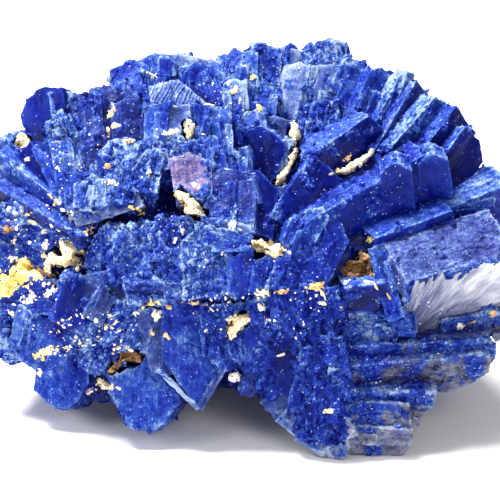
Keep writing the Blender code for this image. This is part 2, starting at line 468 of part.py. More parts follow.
def floor_block(cutters):
    """What the saw takes off below the base."""
    bm = bmesh.new()
    bmesh.ops.create_cube(bm, size=1.0)
    size = Vector(FLOOR_BLOCK) * MM
    place = Matrix.Translation((0.0, 0.0, -size.z / 2.0)) @ Matrix.Diagonal((size.x, size.y, size.z, 1.0))
    bmesh.ops.transform(bm, matrix=place, verts=bm.verts)
    return add_object("floor_block", bm, cutters, "azurite")


def boolean(obj, operation, collection):
    modifier = obj.modifiers.new(operation.title(), "BOOLEAN")
    modifier.operation = operation
    modifier.operand_type = "COLLECTION"
    modifier.collection = collection
    modifier.solver = "EXACT"


def apply_modifiers(obj):
    bpy.context.view_layer.update()
    evaluated = obj.evaluated_get(bpy.context.evaluated_depsgraph_get())
    mesh = bpy.data.meshes.new_from_object(evaluated)
    obj.modifiers.clear()
    obj.data = mesh


def keep_outer_body(obj):
    """Fill the sealed pockets between the crystals: only the largest closed skin stays."""
    bm = bmesh.new()
    bm.from_mesh(obj.data)
    left = set(bm.faces)
    skins = []
    while left:
        start = left.pop()
        skin = {start}
        front = [start]
        while front:
            face = front.pop()
            for edge in face.edges:
                for other in edge.link_faces:
                    if other not in skin:
                        skin.add(other)
                        front.append(other)
        left -= skin
        skins.append(skin)
    skins.sort(key=len, reverse=True)
    inner = [face for skin in skins[1:] for face in skin]
    bmesh.ops.delete(bm, geom=inner, context="FACES")
    bmesh.ops.dissolve_limit(bm, angle_limit=FLAT_ANGLE, verts=bm.verts, edges=bm.edges)
    bmesh.ops.triangulate(bm, faces=bm.faces)
    bm.to_mesh(obj.data)
    bm.free()


def build():
    clear_scene()
    parts = new_collection("azurite_specimen")
    growth = new_collection("growth")
    cutters = new_collection("cutters")
    massive_hearts(growth)
    front_crystals(growth)
    scaly_crystals(growth)
    rear_crystals(growth)
    cluster = growth.objects["heart_0"]
    growth.objects.unlink(cluster)
    parts.objects.link(cluster)
    cluster.name = "azurite_cluster"
    boolean(cluster, "UNION", growth)
    floor_block(cutters)
    for name, place, direction, length, width, depth, mat_name in LUMPS:
        lump = lump_body(place, direction, length, width, depth, 0.0)
        add_object(name, lump, parts, mat_name)
        pocket = lump_body(place, direction, length, width, depth, GAP)
        add_object("pocket_" + name, pocket, cutters, mat_name)
    boolean(cluster, "DIFFERENCE", cutters)
    apply_modifiers(cluster)
    keep_outer_body(cluster)
    hide(list(growth.objects) + list(cutters.objects))


build()
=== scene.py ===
"""Azurite specimen: the finished look of the crystal cluster and of the clay in its gaps.

The flat faces of the CAD cluster are matched to the front crystals, refined and given relief.
Smaller crystals, druse, and the crumbs, flecks and dust of clay are laid over them.
A place on the display plane is (across, up, out) in millimetres, as in the CAD source.
"""
import math
import random

import bmesh
import bpy
import numpy as np
from mathutils import Matrix, Vector
from mathutils.bvhtree import BVHTree
from mathutils.kdtree import KDTree


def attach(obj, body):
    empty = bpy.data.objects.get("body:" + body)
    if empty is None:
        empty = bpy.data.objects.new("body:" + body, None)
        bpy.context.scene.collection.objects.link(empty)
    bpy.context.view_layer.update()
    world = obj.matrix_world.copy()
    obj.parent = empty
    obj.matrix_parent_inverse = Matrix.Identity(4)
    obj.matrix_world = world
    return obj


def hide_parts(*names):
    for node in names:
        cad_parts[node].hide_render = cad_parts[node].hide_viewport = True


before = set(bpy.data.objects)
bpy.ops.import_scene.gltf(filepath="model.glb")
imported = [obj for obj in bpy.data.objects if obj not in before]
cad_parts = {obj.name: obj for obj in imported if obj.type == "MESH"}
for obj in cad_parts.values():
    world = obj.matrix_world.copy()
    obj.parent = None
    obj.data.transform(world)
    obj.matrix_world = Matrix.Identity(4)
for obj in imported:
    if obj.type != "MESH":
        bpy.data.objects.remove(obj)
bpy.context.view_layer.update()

MM = 0.001

# Driving dimensions, the same as in the CAD source
LEAN = math.radians(22.0)        # how far the display plane leans back
LIFT = 25.8 * MM                 # height of the display plane's middle above the base
SHIFT_X = 0.039 * MM             # centres the specimen's box left to right
SHIFT_Y = -2.472 * MM            # and front to rear
EDGE_BEVEL = 0.12                # bevel along a crystal's long front edges, share of its width
CORNER_SHARE = 0.55              # how far a round tip's extra cut starts from each shoulder
CROWN_SHARE = 0.25               # how much a round tip's peak is cut off, share of its shoulder
SLIMMEST_SEEN = 0.6              # a crystal seen more edge-on than this isn't widened further

# Meshes
HIDDEN_OUT = -9.0                # millimetres out of the display plane where the hidden side starts
FRONT_EDGE = 0.55 * MM           # longest mesh edge of the cluster's skin where the front view sees it
REAR_EDGE = 1.10 * MM            # and on the hidden side
LOOSE_FRONT_EDGE = 0.86 * MM     # the same for the smaller crystals
LOOSE_REAR_EDGE = 1.30 * MM
LUMP_EDGE = 0.29 * MM            # longest mesh edge of a lump of clay
MOST_ROUNDS = 40                 # of splitting edges
CUT_WELD = 2e-6                  # corners of a cut closer together than this, in metres, are one
NODE_WELD = 2e-7                 # and those of a CAD node
SAME_WAY = 0.9998                # cosine between neighbours on one flat face
SHARP = math.radians(14)         # an outer edge sharper than this is a rim
FLOOR_GAP = 0.02 * MM            # the lowest point of a crystal above the base
CORE = Vector((SHIFT_X, SHIFT_Y + 6 * MM, 20 * MM))   # middle that the hidden crystals spread from

# Front crystals: name, finish, root, tip, width across the view, thickness, yaw and pitch of the
# broad face in degrees, left and right shoulder of the tip, root width as a share of the tip's
CRYSTALS = [
    # fan of the upper right
    ("thumb_rim", "light", (2.6, 9.6, 4.1), (-0.9, 22.0, 1.3), 5.8, 7, (-10, -14), (3.4, 0.4), 0.9),
    ("thumb", "dark", (4.4, 8.5, 6), (0.6, 20.2, 3.2), 8.4, 8, (-10, -14), (2.4, 3.6), 0.75),
    ("thumb_side", "light", (6.2, 11.2, 5.8), (5.2, 17.4, 4.4), 3.2, 5, (-4, -14), (0.8, 0.8), 0.9),
    ("thumb_back", "slate", (6.4, 12, 2.4), (3.6, 21.4, 1.2), 6.8, 7, (10, -14), (0, 2.0), 0.9),
    ("plate_lavender", "lilac_reflection", (3.4, 17, -3), (8.0, 30.2, -7), 4.6, 7, (-14, 0), (1.2, 0.4), 0.9),
    ("plate_stripe", "light", (7.4, 16.5, -2.6), (11.2, 29.6, -6.8), 3.2, 6, (10, -4), (0.6, 0.8), 0.9),
    ("plate_grey", "slate", (12.6, 17, -3), (14.8, 30.0, -7.6), 7.4, 8, (6, -8), (1.0, 1.6), 0.9),
    ("rough_cap", "rough", (12.0, 22, -8), (12.3, 34.4, -11.5), 8.4, 8, (0, -6), (2.6, 3.2), 0.9),
    ("slate_behind", "dark", (9.6, 22, -9), (9.6, 32.6, -12), 5.0, 7, (-20, -10), (1.5, 0.5), 0.9),
    ("rough_pale", "rough", (11, 11, 3), (12.0, 24.0, -0.5), 8.4, 8, (-5, -4), (1.4, 1.8), 0.9),
    ("navy_block", "navy", (10.5, 11.6, 6), (21.6, 19.0, 1), 7.2, 8, (6, -26), (1.5, 1.0), 0.9),
    ("rim_a", "blue", (15, 18, -3), (18.6, 30.6, -8), 6.0, 8, (10, -15), (1.8, 1.2), 0.85),
    ("rim_b", "blue", (17, 17, -1), (23.0, 29.2, -7), 6.4, 8, (14, -18), (2.0, 1.0), 0.85),
    ("rim_c", "light", (20, 15.5, 0), (26.9, 27.5, -6), 5.6, 8, (18, -18), (1.4, 1.6), 0.85),
    ("olive_face", "grey", (21.5, 14, 2), (28.6, 25.2, -4), 5.4, 8, (16, -24), (0.6, 0.6), 0.9),
    ("strip_c", "light", (23, 13.5, 3.5), (31.8, 22.9, -2), 5.4, 8, (12, -28), (1.0, 0.8), 0.9),
    ("dark_d", "dark", (27, 11.5, 4.5), (34.6, 20.8, 0), 5.4, 8, (14, -28), (0.6, 0.6), 0.9),
    ("dark_e", "dark", (29.0, 7.5, 6), (36.6, 18.0, 1), 6.0, 9, (14, -28), (0.6, 2.2), 0.9),
    ("long_blade", "deep", (11, 0.5, 12.5), (31.2, 11.2, 6), 10.4, 9, (4, -26), (1.2, 0.6), 0.85),
    ("thumb_f1", "deep", (23.8, 4.6, 7.9), (22.9, 14.0, 12.9), 5.2, 4.5, (4, -28), (2.0, 2.0), 0.95),
    ("thumb_f2", "deep", (30.0, 6.5, 5.2), (28.8, 15.4, 10.2), 5.2, 4.5, (10, -28), (2.0, 2.0), 0.95),
    ("blade_g", "blue", (24, 0.5, 9), (42.2, 7.6, 2), 6.2, 6.5, (4, -34), (0.5, 0.5), 0.95),
    ("blade_small", "deep", (20, -0.4, 12.5), (32.5, 4.0, 8.5), 4.4, 7, (4, -30), (0.4, 0.4), 0.95),
    ("big_block", "silver_reflection", (24.2, -9.6, 14.5), (42.4, -5.0, 9), 9.6, 10.5, (4, -44), (0.8, 0.5), 0.98),
    ("under_block", "crusty", (30, -12.6, 9.5), (42.2, -11.2, 6), 3.4, 8, (4, -30), (0.6, 1.8), 0.95),
    ("upright_a", "blue", (25, -13, 15), (23.6, -0.6, 11), 2.8, 10, (12, -18), (1.0, 0.5), 0.9),
    ("upright_b", "blue", (24, -12, 15.5), (21.6, 0.2, 12), 2.8, 10, (8, -18), (1.0, 0.5), 0.9),
    ("upright_c", "blue", (23, -11, 16), (19.8, 0.6, 13), 2.8, 10, (0, -18), (1.0, 0.5), 0.9),
    ("navy_c2", "navy", (5.6, 4.0, 12), (12.2, 13.2, 7.6), 6.4, 8, (-2, -14), (0.4, 0.4), 0.9),
    ("facet_c3", "grey", (5, 0, 13), (5.6, 10.6, 8), 5.8, 7, (-12, -10), (1.4, 0.8), 0.9),
    ("facet_c3b", "dark", (2, 0, 13), (1.6, 10.4, 8), 5.4, 7, (14, -14), (0.8, 0.8), 0.9),
    ("big_c4", "blue", (6.5, -7.5, 17.5), (12.4, 6.4, 13), 10.4, 10, (2, -12), (2.6, 2.2), 0.8),
    ("hollow_c5", "dark", (15.5, -6, 12), (17.0, 3.0, 10), 8.0, 9, (2, -16), (2.6, 2.2), 0.9),
    ("block_i", "rough", (11, -12.5, 16), (24.0, -9.6, 13), 7.4, 10, (0, -14), (1.0, 2.0), 0.9),
    # dark_i is navy azurite whose dark finish also paints the deep shadow that lies on its face
    ("dark_i", "dark", (15, -8.4, 16), (22.4, -7.4, 14.5), 4.6, 8, (12, -24), (1.0, 1.8), 0.9),
    # ledges and bottom lobe of the lower right
    ("long_j", "crusty", (8, -18.0, 16), (39.2, -16.9, 10), 5.6, 4.5, (4, -20), (1.2, 2.6), 0.95),
    ("long_j2", "ledge", (12, -21.5, 14.5), (38.2, -19.2, 8.5), 6.0, 8, (6, -44), (0.8, 4.0), 0.95),
    ("ledge_l", "crusty", (14, -24.4, 14), (29.2, -24.6, 11), 4.4, 11, (6, -40), (0.6, 2.6), 0.95),
    ("lobe_m1", "crusty", (9, -26.0, 14.4), (25.6, -27.6, 13.5), 6.6, 12, (4, -16), (0.8, 1.2), 0.85),
    ("lobe_m2", "ledge", (10, -29.2, 13), (25.4, -31.0, 12.5), 5.4, 12, (4, -34), (0.6, 2.0), 0.7),
    ("lobe_m3", "crusty", (10, -27, 13.5), (15.0, -33.2, 13), 6.4, 9, (-6, -30), (2.4, 1.6), 0.95),
    ("rib_a", "slate", (9, -21, 14), (2.9, -25.7, 10), 4.2, 8, (-20, -30), (0.8, 0.8), 0.9),
    ("rib_b", "slate", (10, -23, 14), (5.6, -28.3, 10.5), 4.2, 8, (-20, -30), (0.8, 0.8), 0.9),
    ("rib_c", "slate", (11, -25, 14), (9.0, -31.0, 11.5), 4.4, 8, (-16, -30), (0.8, 0.8), 0.9),
    # broad facets of the centre
    ("centre_g1", "grey", (-3.4, 2, 15), (-4.4, 13.2, 10.4), 10.4, 9, (-4, -12), (3.2, 2.0), 0.85),
    ("centre_g2", "dark", (0.4, 1, 14.6), (1.4, 12.6, 9.8), 7.0, 8, (14, -14), (0.8, 2.6), 0.9),
    ("pink_plate", "pink", (-8.8, 8, 12.4), (-9.6, 15.8, 9), 6.8, 7, (-6, -2), (0.8, 2.8), 0.9),
    ("sparkly_wedge", "light", (-2.2, 9, 8), (-2.7, 16.5, 5.4), 4.8, 7, (-4, -4), (1.6, 1.4), 0.9),
    # plates and prisms along the top
    ("comb_plate", "comb", (-11.4, 20, 3), (-11.6, 27.4, 0), 9.4, 8, (-8, 4), (0.8, 4.6), 0.9),
    ("lamellae_blue", "blue", (-7.2, 20.5, 1), (-7.2, 30.2, -4), 8.0, 9, (4, -8), (1.2, 1.0), 0.9),
    ("plate_top", "lilac_reflection", (-11, 22, -8), (-11.6, 31.9, -11), 13.4, 9, (0, 0), (1.2, 2.0), 0.98),
    ("top_low", "blue", (-3.5, 22, -8), (-4.0, 31.6, -11), 8, 9, (0, -6), (1.4, 2.0), 0.98),
    ("top_a", "blue", (-1, 19, -2), (-1.8, 32.4, -7), 6.0, 8, (-6, -10), (1.6, 1.2), 0.85),
    ("top_b", "rough", (2, 19, -3), (2.0, 33.7, -8), 6.4, 8, (4, -10), (1.6, 1.6), 0.85),
    ("top_c", "lilac_reflection", (6, 21, -9), (6.2, 33.1, -12), 6.4, 8, (8, -10), (1.0, 1.2), 0.85),
    ("top_stripe", "light", (-2.6, 18, 1), (-2.6, 27.6, -2), 3.4, 7, (-4, -8), (1.2, 1.2), 0.9),
    ("top_d", "blue", (1.4, 16, 0), (1.6, 27.0, -3), 5.6, 7, (2, -12), (1.2, 1.2), 0.9),
    ("row_a", "blue", (-14.8, 15, 7), (-14.8, 23.2, 4.5), 4.4, 6, (-6, -8), (0.8, 0.8), 0.95),
    ("row_b", "lilac_reflection", (-11.6, 15, 7.3), (-11.6, 23.0, 5), 4.2, 6, (-4, -4), (0.4, 0.6), 0.95),
    ("row_c", "blue", (-8.4, 15, 7), (-8.4, 23.2, 4), 4.2, 6, (0, -8), (0.6, 0.6), 0.95),
    ("row_d", "blue", (-5.2, 15, 6), (-5.4, 23.0, 3), 4.6, 6, (4, -10), (0.6, 0.8), 0.95),
    ("row_e", "blue", (-3.6, 14.5, 4), (-3.4, 22.0, 0.6), 3.8, 6, (6, -12), (0.8, 0.8), 0.95),
    ("mid_a", "rough", (-11.6, 11, 8.5), (-12.2, 18.2, 6.5), 6.4, 6, (-6, -6), (0.8, 0.8), 0.95),
    ("mid_b", "blue", (-7.2, 11.5, 8.5), (-6.8, 18.4, 5.5), 6.4, 6, (2, -8), (1.0, 1.0), 0.95),
    # upper left
    ("dark_ul", "navy", (-31.5, 11.5, -1), (-34.0, 26.4, -5), 7.8, 8, (-20, -14), (2.6, 1.4), 0.85),
    ("facet_ul", "light", (-28.6, 14, 0), (-30.1, 25.6, -4), 4.8, 8, (6, -8), (0.8, 1.0), 0.9),
    ("sparkle_ul", "rough", (-28.2, 9, 5), (-30.6, 22.0, 2.5), 4.8, 7, (0, -4), (1.4, 1.0), 0.9),
    ("slate_blade", "shade", (-24.4, 11, 6), (-26.4, 25.4, 0), 5.0, 8, (10, -12), (0.8, 1.2), 0.9),
    ("slate_b", "shade", (-22.0, 17, 2), (-22.6, 26.6, -3), 6.0, 8, (8, -12), (0.8, 1.0), 0.9),
    ("lump_top", "blue", (-19.4, 19, -2), (-19.4, 30.9, -7), 6.6, 9, (-4, -8), (1.8, 1.4), 0.9),
    ("lump_top_b", "blue", (-15.4, 19, -4), (-14.8, 32.1, -9), 6.4, 9, (4, -8), (1.8, 1.0), 0.9),
    ("navy_facet", "shade", (-19.4, 15, 5), (-19.6, 24.2, 2), 5.4, 7, (4, -10), (0.8, 0.6), 0.9),
    ("between_a", "blue", (-28.2, 6.5, 8), (-30.2, 17.4, 4.5), 3.6, 7, (2, -8), (1.0, 1.0), 0.9),
    ("between_b", "blue", (-28.6, 6.6, 7.6), (-33.2, 17.0, 2.6), 3.6, 7, (-8, -12), (1.0, 0.8), 0.9),
    ("between_c", "navy", (-29.0, 6.2, 7), (-36.4, 16.0, 0.6), 3.6, 7, (-16, -16), (1.0, 0.8), 0.9),
    ("pale_u2", "light", (-25.4, 6.8, 11), (-25.2, 11.8, 9.6), 5.2, 7, (-10, 2), (1.4, 1.0), 0.95),
    ("pale_u1", "rough", (-21.8, 7.8, 11.6), (-19.6, 18.6, 5.4), 8.0, 9, (-8, 4), (2.8, 2.4), 0.85),
    ("pale_u0", "rough", (-17.4, 9.2, 11.4), (-16.0, 17.2, 7), 6.0, 8, (2, 0), (1.8, 1.6), 0.9),
    ("ledge_u3", "lilac_reflection", (-28.0, 4.8, 9.6), (-17.4, 8.2, 11.0), 2.8, 5, (-4, 6), (0.4, 0.8), 0.95),
    # blades and blocks of the left edge
    ("blade_l1", "blue", (-27.5, 3.0, 8), (-41.6, 13.6, -2), 5.0, 10, (-24, -26), (0.6, 0.6), 0.95),
    ("blade_l0", "blue", (-28.5, 7.6, 4), (-41.6, 15.4, -5), 6.4, 8, (-22, -20), (1.0, 0.6), 0.95),
    ("blade_l2", "grey", (-27.0, -0.5, 9), (-42, 7.6, -1), 6.0, 11, (-28, -32), (0.6, 0.6), 0.95),
    ("speckled_l", "rough", (-28.0, -4, 8), (-42.2, 2.4, -1), 10.4, 12, (-24, -14), (0.8, 0.8), 0.95),
    ("left_block", "rough", (-28, -11.4, 6), (-42, -12.4, -1), 11.6, 14, (-22, -10), (1.4, 2.4), 0.95),
    ("left_block2", "blue", (-30, -7.5, 7.5), (-42, -7.2, 0), 6.0, 10, (-18, -6), (0.6, 0.6), 0.95),
    # rough dome left of the centre
    ("dome_a", "rough", (-20.6, -8, 10.4), (-22.8, 4.2, 10.4), 8.8, 10, (-22, -4), (2.6, 1.2), 0.95),
    ("dome_b", "rough", (-14.0, -8, 14.4), (-15.4, 5.2, 12.4), 11.6, 10, (-8, 4), (3.4, 2.6), 0.95),
    ("dome_c", "rough", (-9.5, -7, 15.6), (-10.6, 5.4, 13.4), 8.4, 10, (-2, 2), (2.6, 2.0), 0.95),
    ("dome_d", "rough", (-5.4, -7.4, 16.4), (-6.4, 4.4, 14.4), 10.0, 10, (4, 0), (2.0, 2.6), 0.95),
    ("dome_e", "blue", (-7.6, 2.4, 15.4), (0.6, 0.4, 15.8), 3.0, 8, (6, 10), (0.8, 0.8), 0.95),
    ("dome_f", "deep", (-1.0, -7.0, 17.0), (-0.8, -0.4, 16.4), 5.2, 8, (8, -12), (1.0, 1.6), 0.95),
    ("dome_g", "blue", (3.6, -7.0, 16.8), (3.4, -0.4, 15.4), 5.4, 9, (12, -8), (1.4, 1.0), 0.95),
    ("dome_low", "slate", (-22, -3, 11), (-20.8, -8.4, 11.5), 10.4, 10, (-10, -18), (1.0, 1.0), 0.95),
    ("dome_low2", "grey", (-19.6, -6.6, 13.4), (-8.2, -6.8, 15.6), 3.0, 8, (-6, -24), (0.6, 0.8), 0.95),
    ("ledge_lav", "lilac_reflection", (-8.4, 4.0, 14.2), (0.0, 2.6, 15.0), 2.6, 7, (2, -6), (0.6, 0.8), 0.95),
    # lobes of the lower left
    ("lump_e", "blue", (-8.4, -7.5, 14), (-8.2, -25.0, 12), 11.5, 13, (0, -8), (9, 8), 0.95),
    ("lump_e2", "rough", (-4.0, -8.5, 15), (-3.6, -19.0, 14), 7.6, 10, (8, -6), (3, 2.4), 0.95),
    ("rim_e1", "lilac_reflection", (-14.6, -19.0, 12.9), (-8.2, -25.2, 12.3), 0.5, 6, (-10, -8), (0.1, 0.1), 0.95),
    ("rim_e2", "slate", (-3.4, -17.4, 13.4), (-7.9, -25.0, 12.4), 1.1, 6, (8, -8), (0.2, 0.2), 0.95),
    ("hollow_e", "dark", (1, -9, 12), (0.5, -18.5, 9), 6.0, 8, (0, -20), (1, 1.4), 0.95),
    ("lobe_f", "blue", (-16.6, -13, 10), (-16.8, -29.4, 10), 11.4, 12, (-6, -12), (3.6, 4.2), 0.95),
    ("lobe_g", "blue", (-30, -13, 4), (-30.0, -25.9, 4), 8.8, 11, (-14, -14), (3.0, 2.4), 0.95),
    ("rhombus", "navy", (-26.4, -4.2, 10), (-28.4, -12.8, 10.5), 6.4, 8, (4, -18), (2.8, 1.2), 0.9),
    ("facet_grey", "slate", (-22.4, -6.8, 12), (-24.9, -11.2, 11.7), 3.4, 6, (6, -14), (0.8, 0.8), 0.9),
    ("granular_a", "rough", (-23, -9, 11), (-26.4, -16.4, 8), 7.4, 9, (-6, -8), (1.2, 1.2), 0.95),
    ("granular_b", "rough", (-17.6, -9, 12), (-20.0, -16.4, 10.5), 7.4, 9, (-2, -8), (1.2, 1.2), 0.95),
    ("granular_c", "rough", (-22, -13, 9), (-23.4, -20.4, 7), 8.4, 9, (-4, -10), (1.2, 1.2), 0.95),
    ("hollow_g", "dark", (-23, -17, 4), (-23.4, -24.6, 3), 6.4, 9, (-4, -10), (1.2, 1.2), 0.95),
    ("left_mid", "blue", (-32, -11, 5), (-35.2, -19.0, 2), 8.0, 10, (-16, -12), (1.2, 1.8), 0.95),
    ("side_f", "slate", (-14.8, -9, 12.4), (-12.0, -19.8, 12), 7.0, 9, (-8, -14), (1.2, 1.2), 0.95),
    ("tip_e3", "grey", (1.2, -16, 13.4), (0.2, -23.2, 11.6), 3.6, 9, (12, -14), (1.6, 1.0), 0.95),
]

# Crystals whose tips are worn round
ROUNDED = (
    "thumb", "thumb_rim", "dark_ul", "thumb_f1", "thumb_f2", "lump_top", "lump_top_b", "rough_pale",
    "pale_u1", "dome_a", "dome_b", "dome_d", "lobe_f", "lobe_g", "left_mid", "lobe_m1",
    "lobe_m2", "lobe_m3", "long_j", "long_j2", "ledge_l", "big_c4", "left_block", "top_b", "top_c",
    "granular_c",
)

# The scaly patch of small upright crystals: middle, direction of the tip in degrees
SCALES = [
    ((2.5, -9.5, 16.0), -100), ((6.0, -9.5, 17.0), -92), ((9.5, -9.0, 17.0), -80),
    ((12.5, -10.5, 16.5), -70), ((0.5, -12.5, 15.0), -110), ((4.0, -13.0, 15.5), -100),
    ((7.5, -12.6, 16.0), -90), ((11.0, -13.5, 16.0), -78), ((1.5, -16.5, 14.0), -112),
    ((5.0, -16.8, 14.5), -102), ((9.0, -16.6, 16.0), -92), ((12.6, -17.0, 16.6), -84),
    ((3.0, -20.0, 12.5), -115), ((6.6, -20.3, 14.0), -105), ((10.2, -20.3, 15.6), -96),
    ((13.6, -21.2, 16.2), -88), ((0.0, -18.8, 11.5), -120), ((8.6, -23.6, 14.6), -104),
    ((12.0, -24.4, 15.8), -95), ((9.4, -27.0, 14.0), -112), ((12.6, -27.6, 14.9), -102),
]
SCALE_HALF = 3.25                # half of a scale's length, in millimetres
SCALE_DROP = 0.55                # how far its tip lies behind its middle
SCALE_BODY = (4.6, 6.0, (-8, -14), (1.3, 1.3), 0.95)   # the rest of its row
DARK_SCALES = (4, 9, 13)

# Lumps of clay: node, middle, degrees, length, width, slot
LUMPS = [
    ("clay_yellow_wedge", (-37.2, -4.2, 1.4), 14, 9.0, 4.2, "yellow_clay"),
    ("clay_left", (-29.6, -1.2, 7.2), 38, 6.5, 4.0, "cream_clay"),
    ("clay_upper_left", (-36.8, 16.7, -3.6), 70, 3.6, 2.4, "cream_clay"),
    ("clay_centre", (-9.3, 6.9, 12.6), -42, 6.4, 2.2, "cream_clay"),
    ("clay_top", (6.8, 18.4, 1.8), 84, 3.6, 1.6, "cream_clay"),
    ("clay_diagonal", (5.8, 13.2, 5.6), 60, 6.4, 1.3, "cream_clay"),
    ("clay_right_seam", (16.8, 13.9, 5.8), 32, 6.8, 1.4, "cream_clay"),
    ("clay_pocket", (3.0, 0.4, 14.6), -18, 5.4, 2.0, "cream_clay"),
    ("limonite_pocket", (17.0, -2.8, 11.4), 60, 5.0, 3.6, "limonite"),
    ("clay_lower", (-1.8, -11.6, 14.2), 40, 4.6, 2.0, "cream_clay"),
    ("clay_row", (-9.9, 19.0, 5.8), 80, 3.0, 1.8, "cream_clay"),
    ("limonite_left", (-19.4, -17.2, 8.6), 25, 6.6, 2.6, "limonite"),
]

# Hollows in a lump: middle along and across it, half sizes, in millimetres
HOLLOWS = {
    "clay_lower": [(-0.2, -1.15, 1.6, 0.95)],
    "clay_pocket": [(-1.1, -0.30, 1.7, 0.85)],
    "clay_left": [(1.6, -1.5, 1.3, 0.9), (-2.2, 1.5, 1.2, 0.8)],
    "clay_centre": [(1.8, 1.0, 1.0, 0.7), (-1.0, -1.1, 0.9, 0.6)],
    "limonite_pocket": [(0.4, 0.2, 1.5, 1.0)],
}
HOLLOW_DEPTH = 2.2
# Lumps that are slimmer than their pocket: share of its width
SLIM = {"clay_right_seam": 0.62, "clay_top": 0.75, "clay_diagonal": 0.80, "clay_centre": 0.85}
CRUMBS_PER_AREA = 0.7            # crumbs on each square millimetre of a lump's length by width

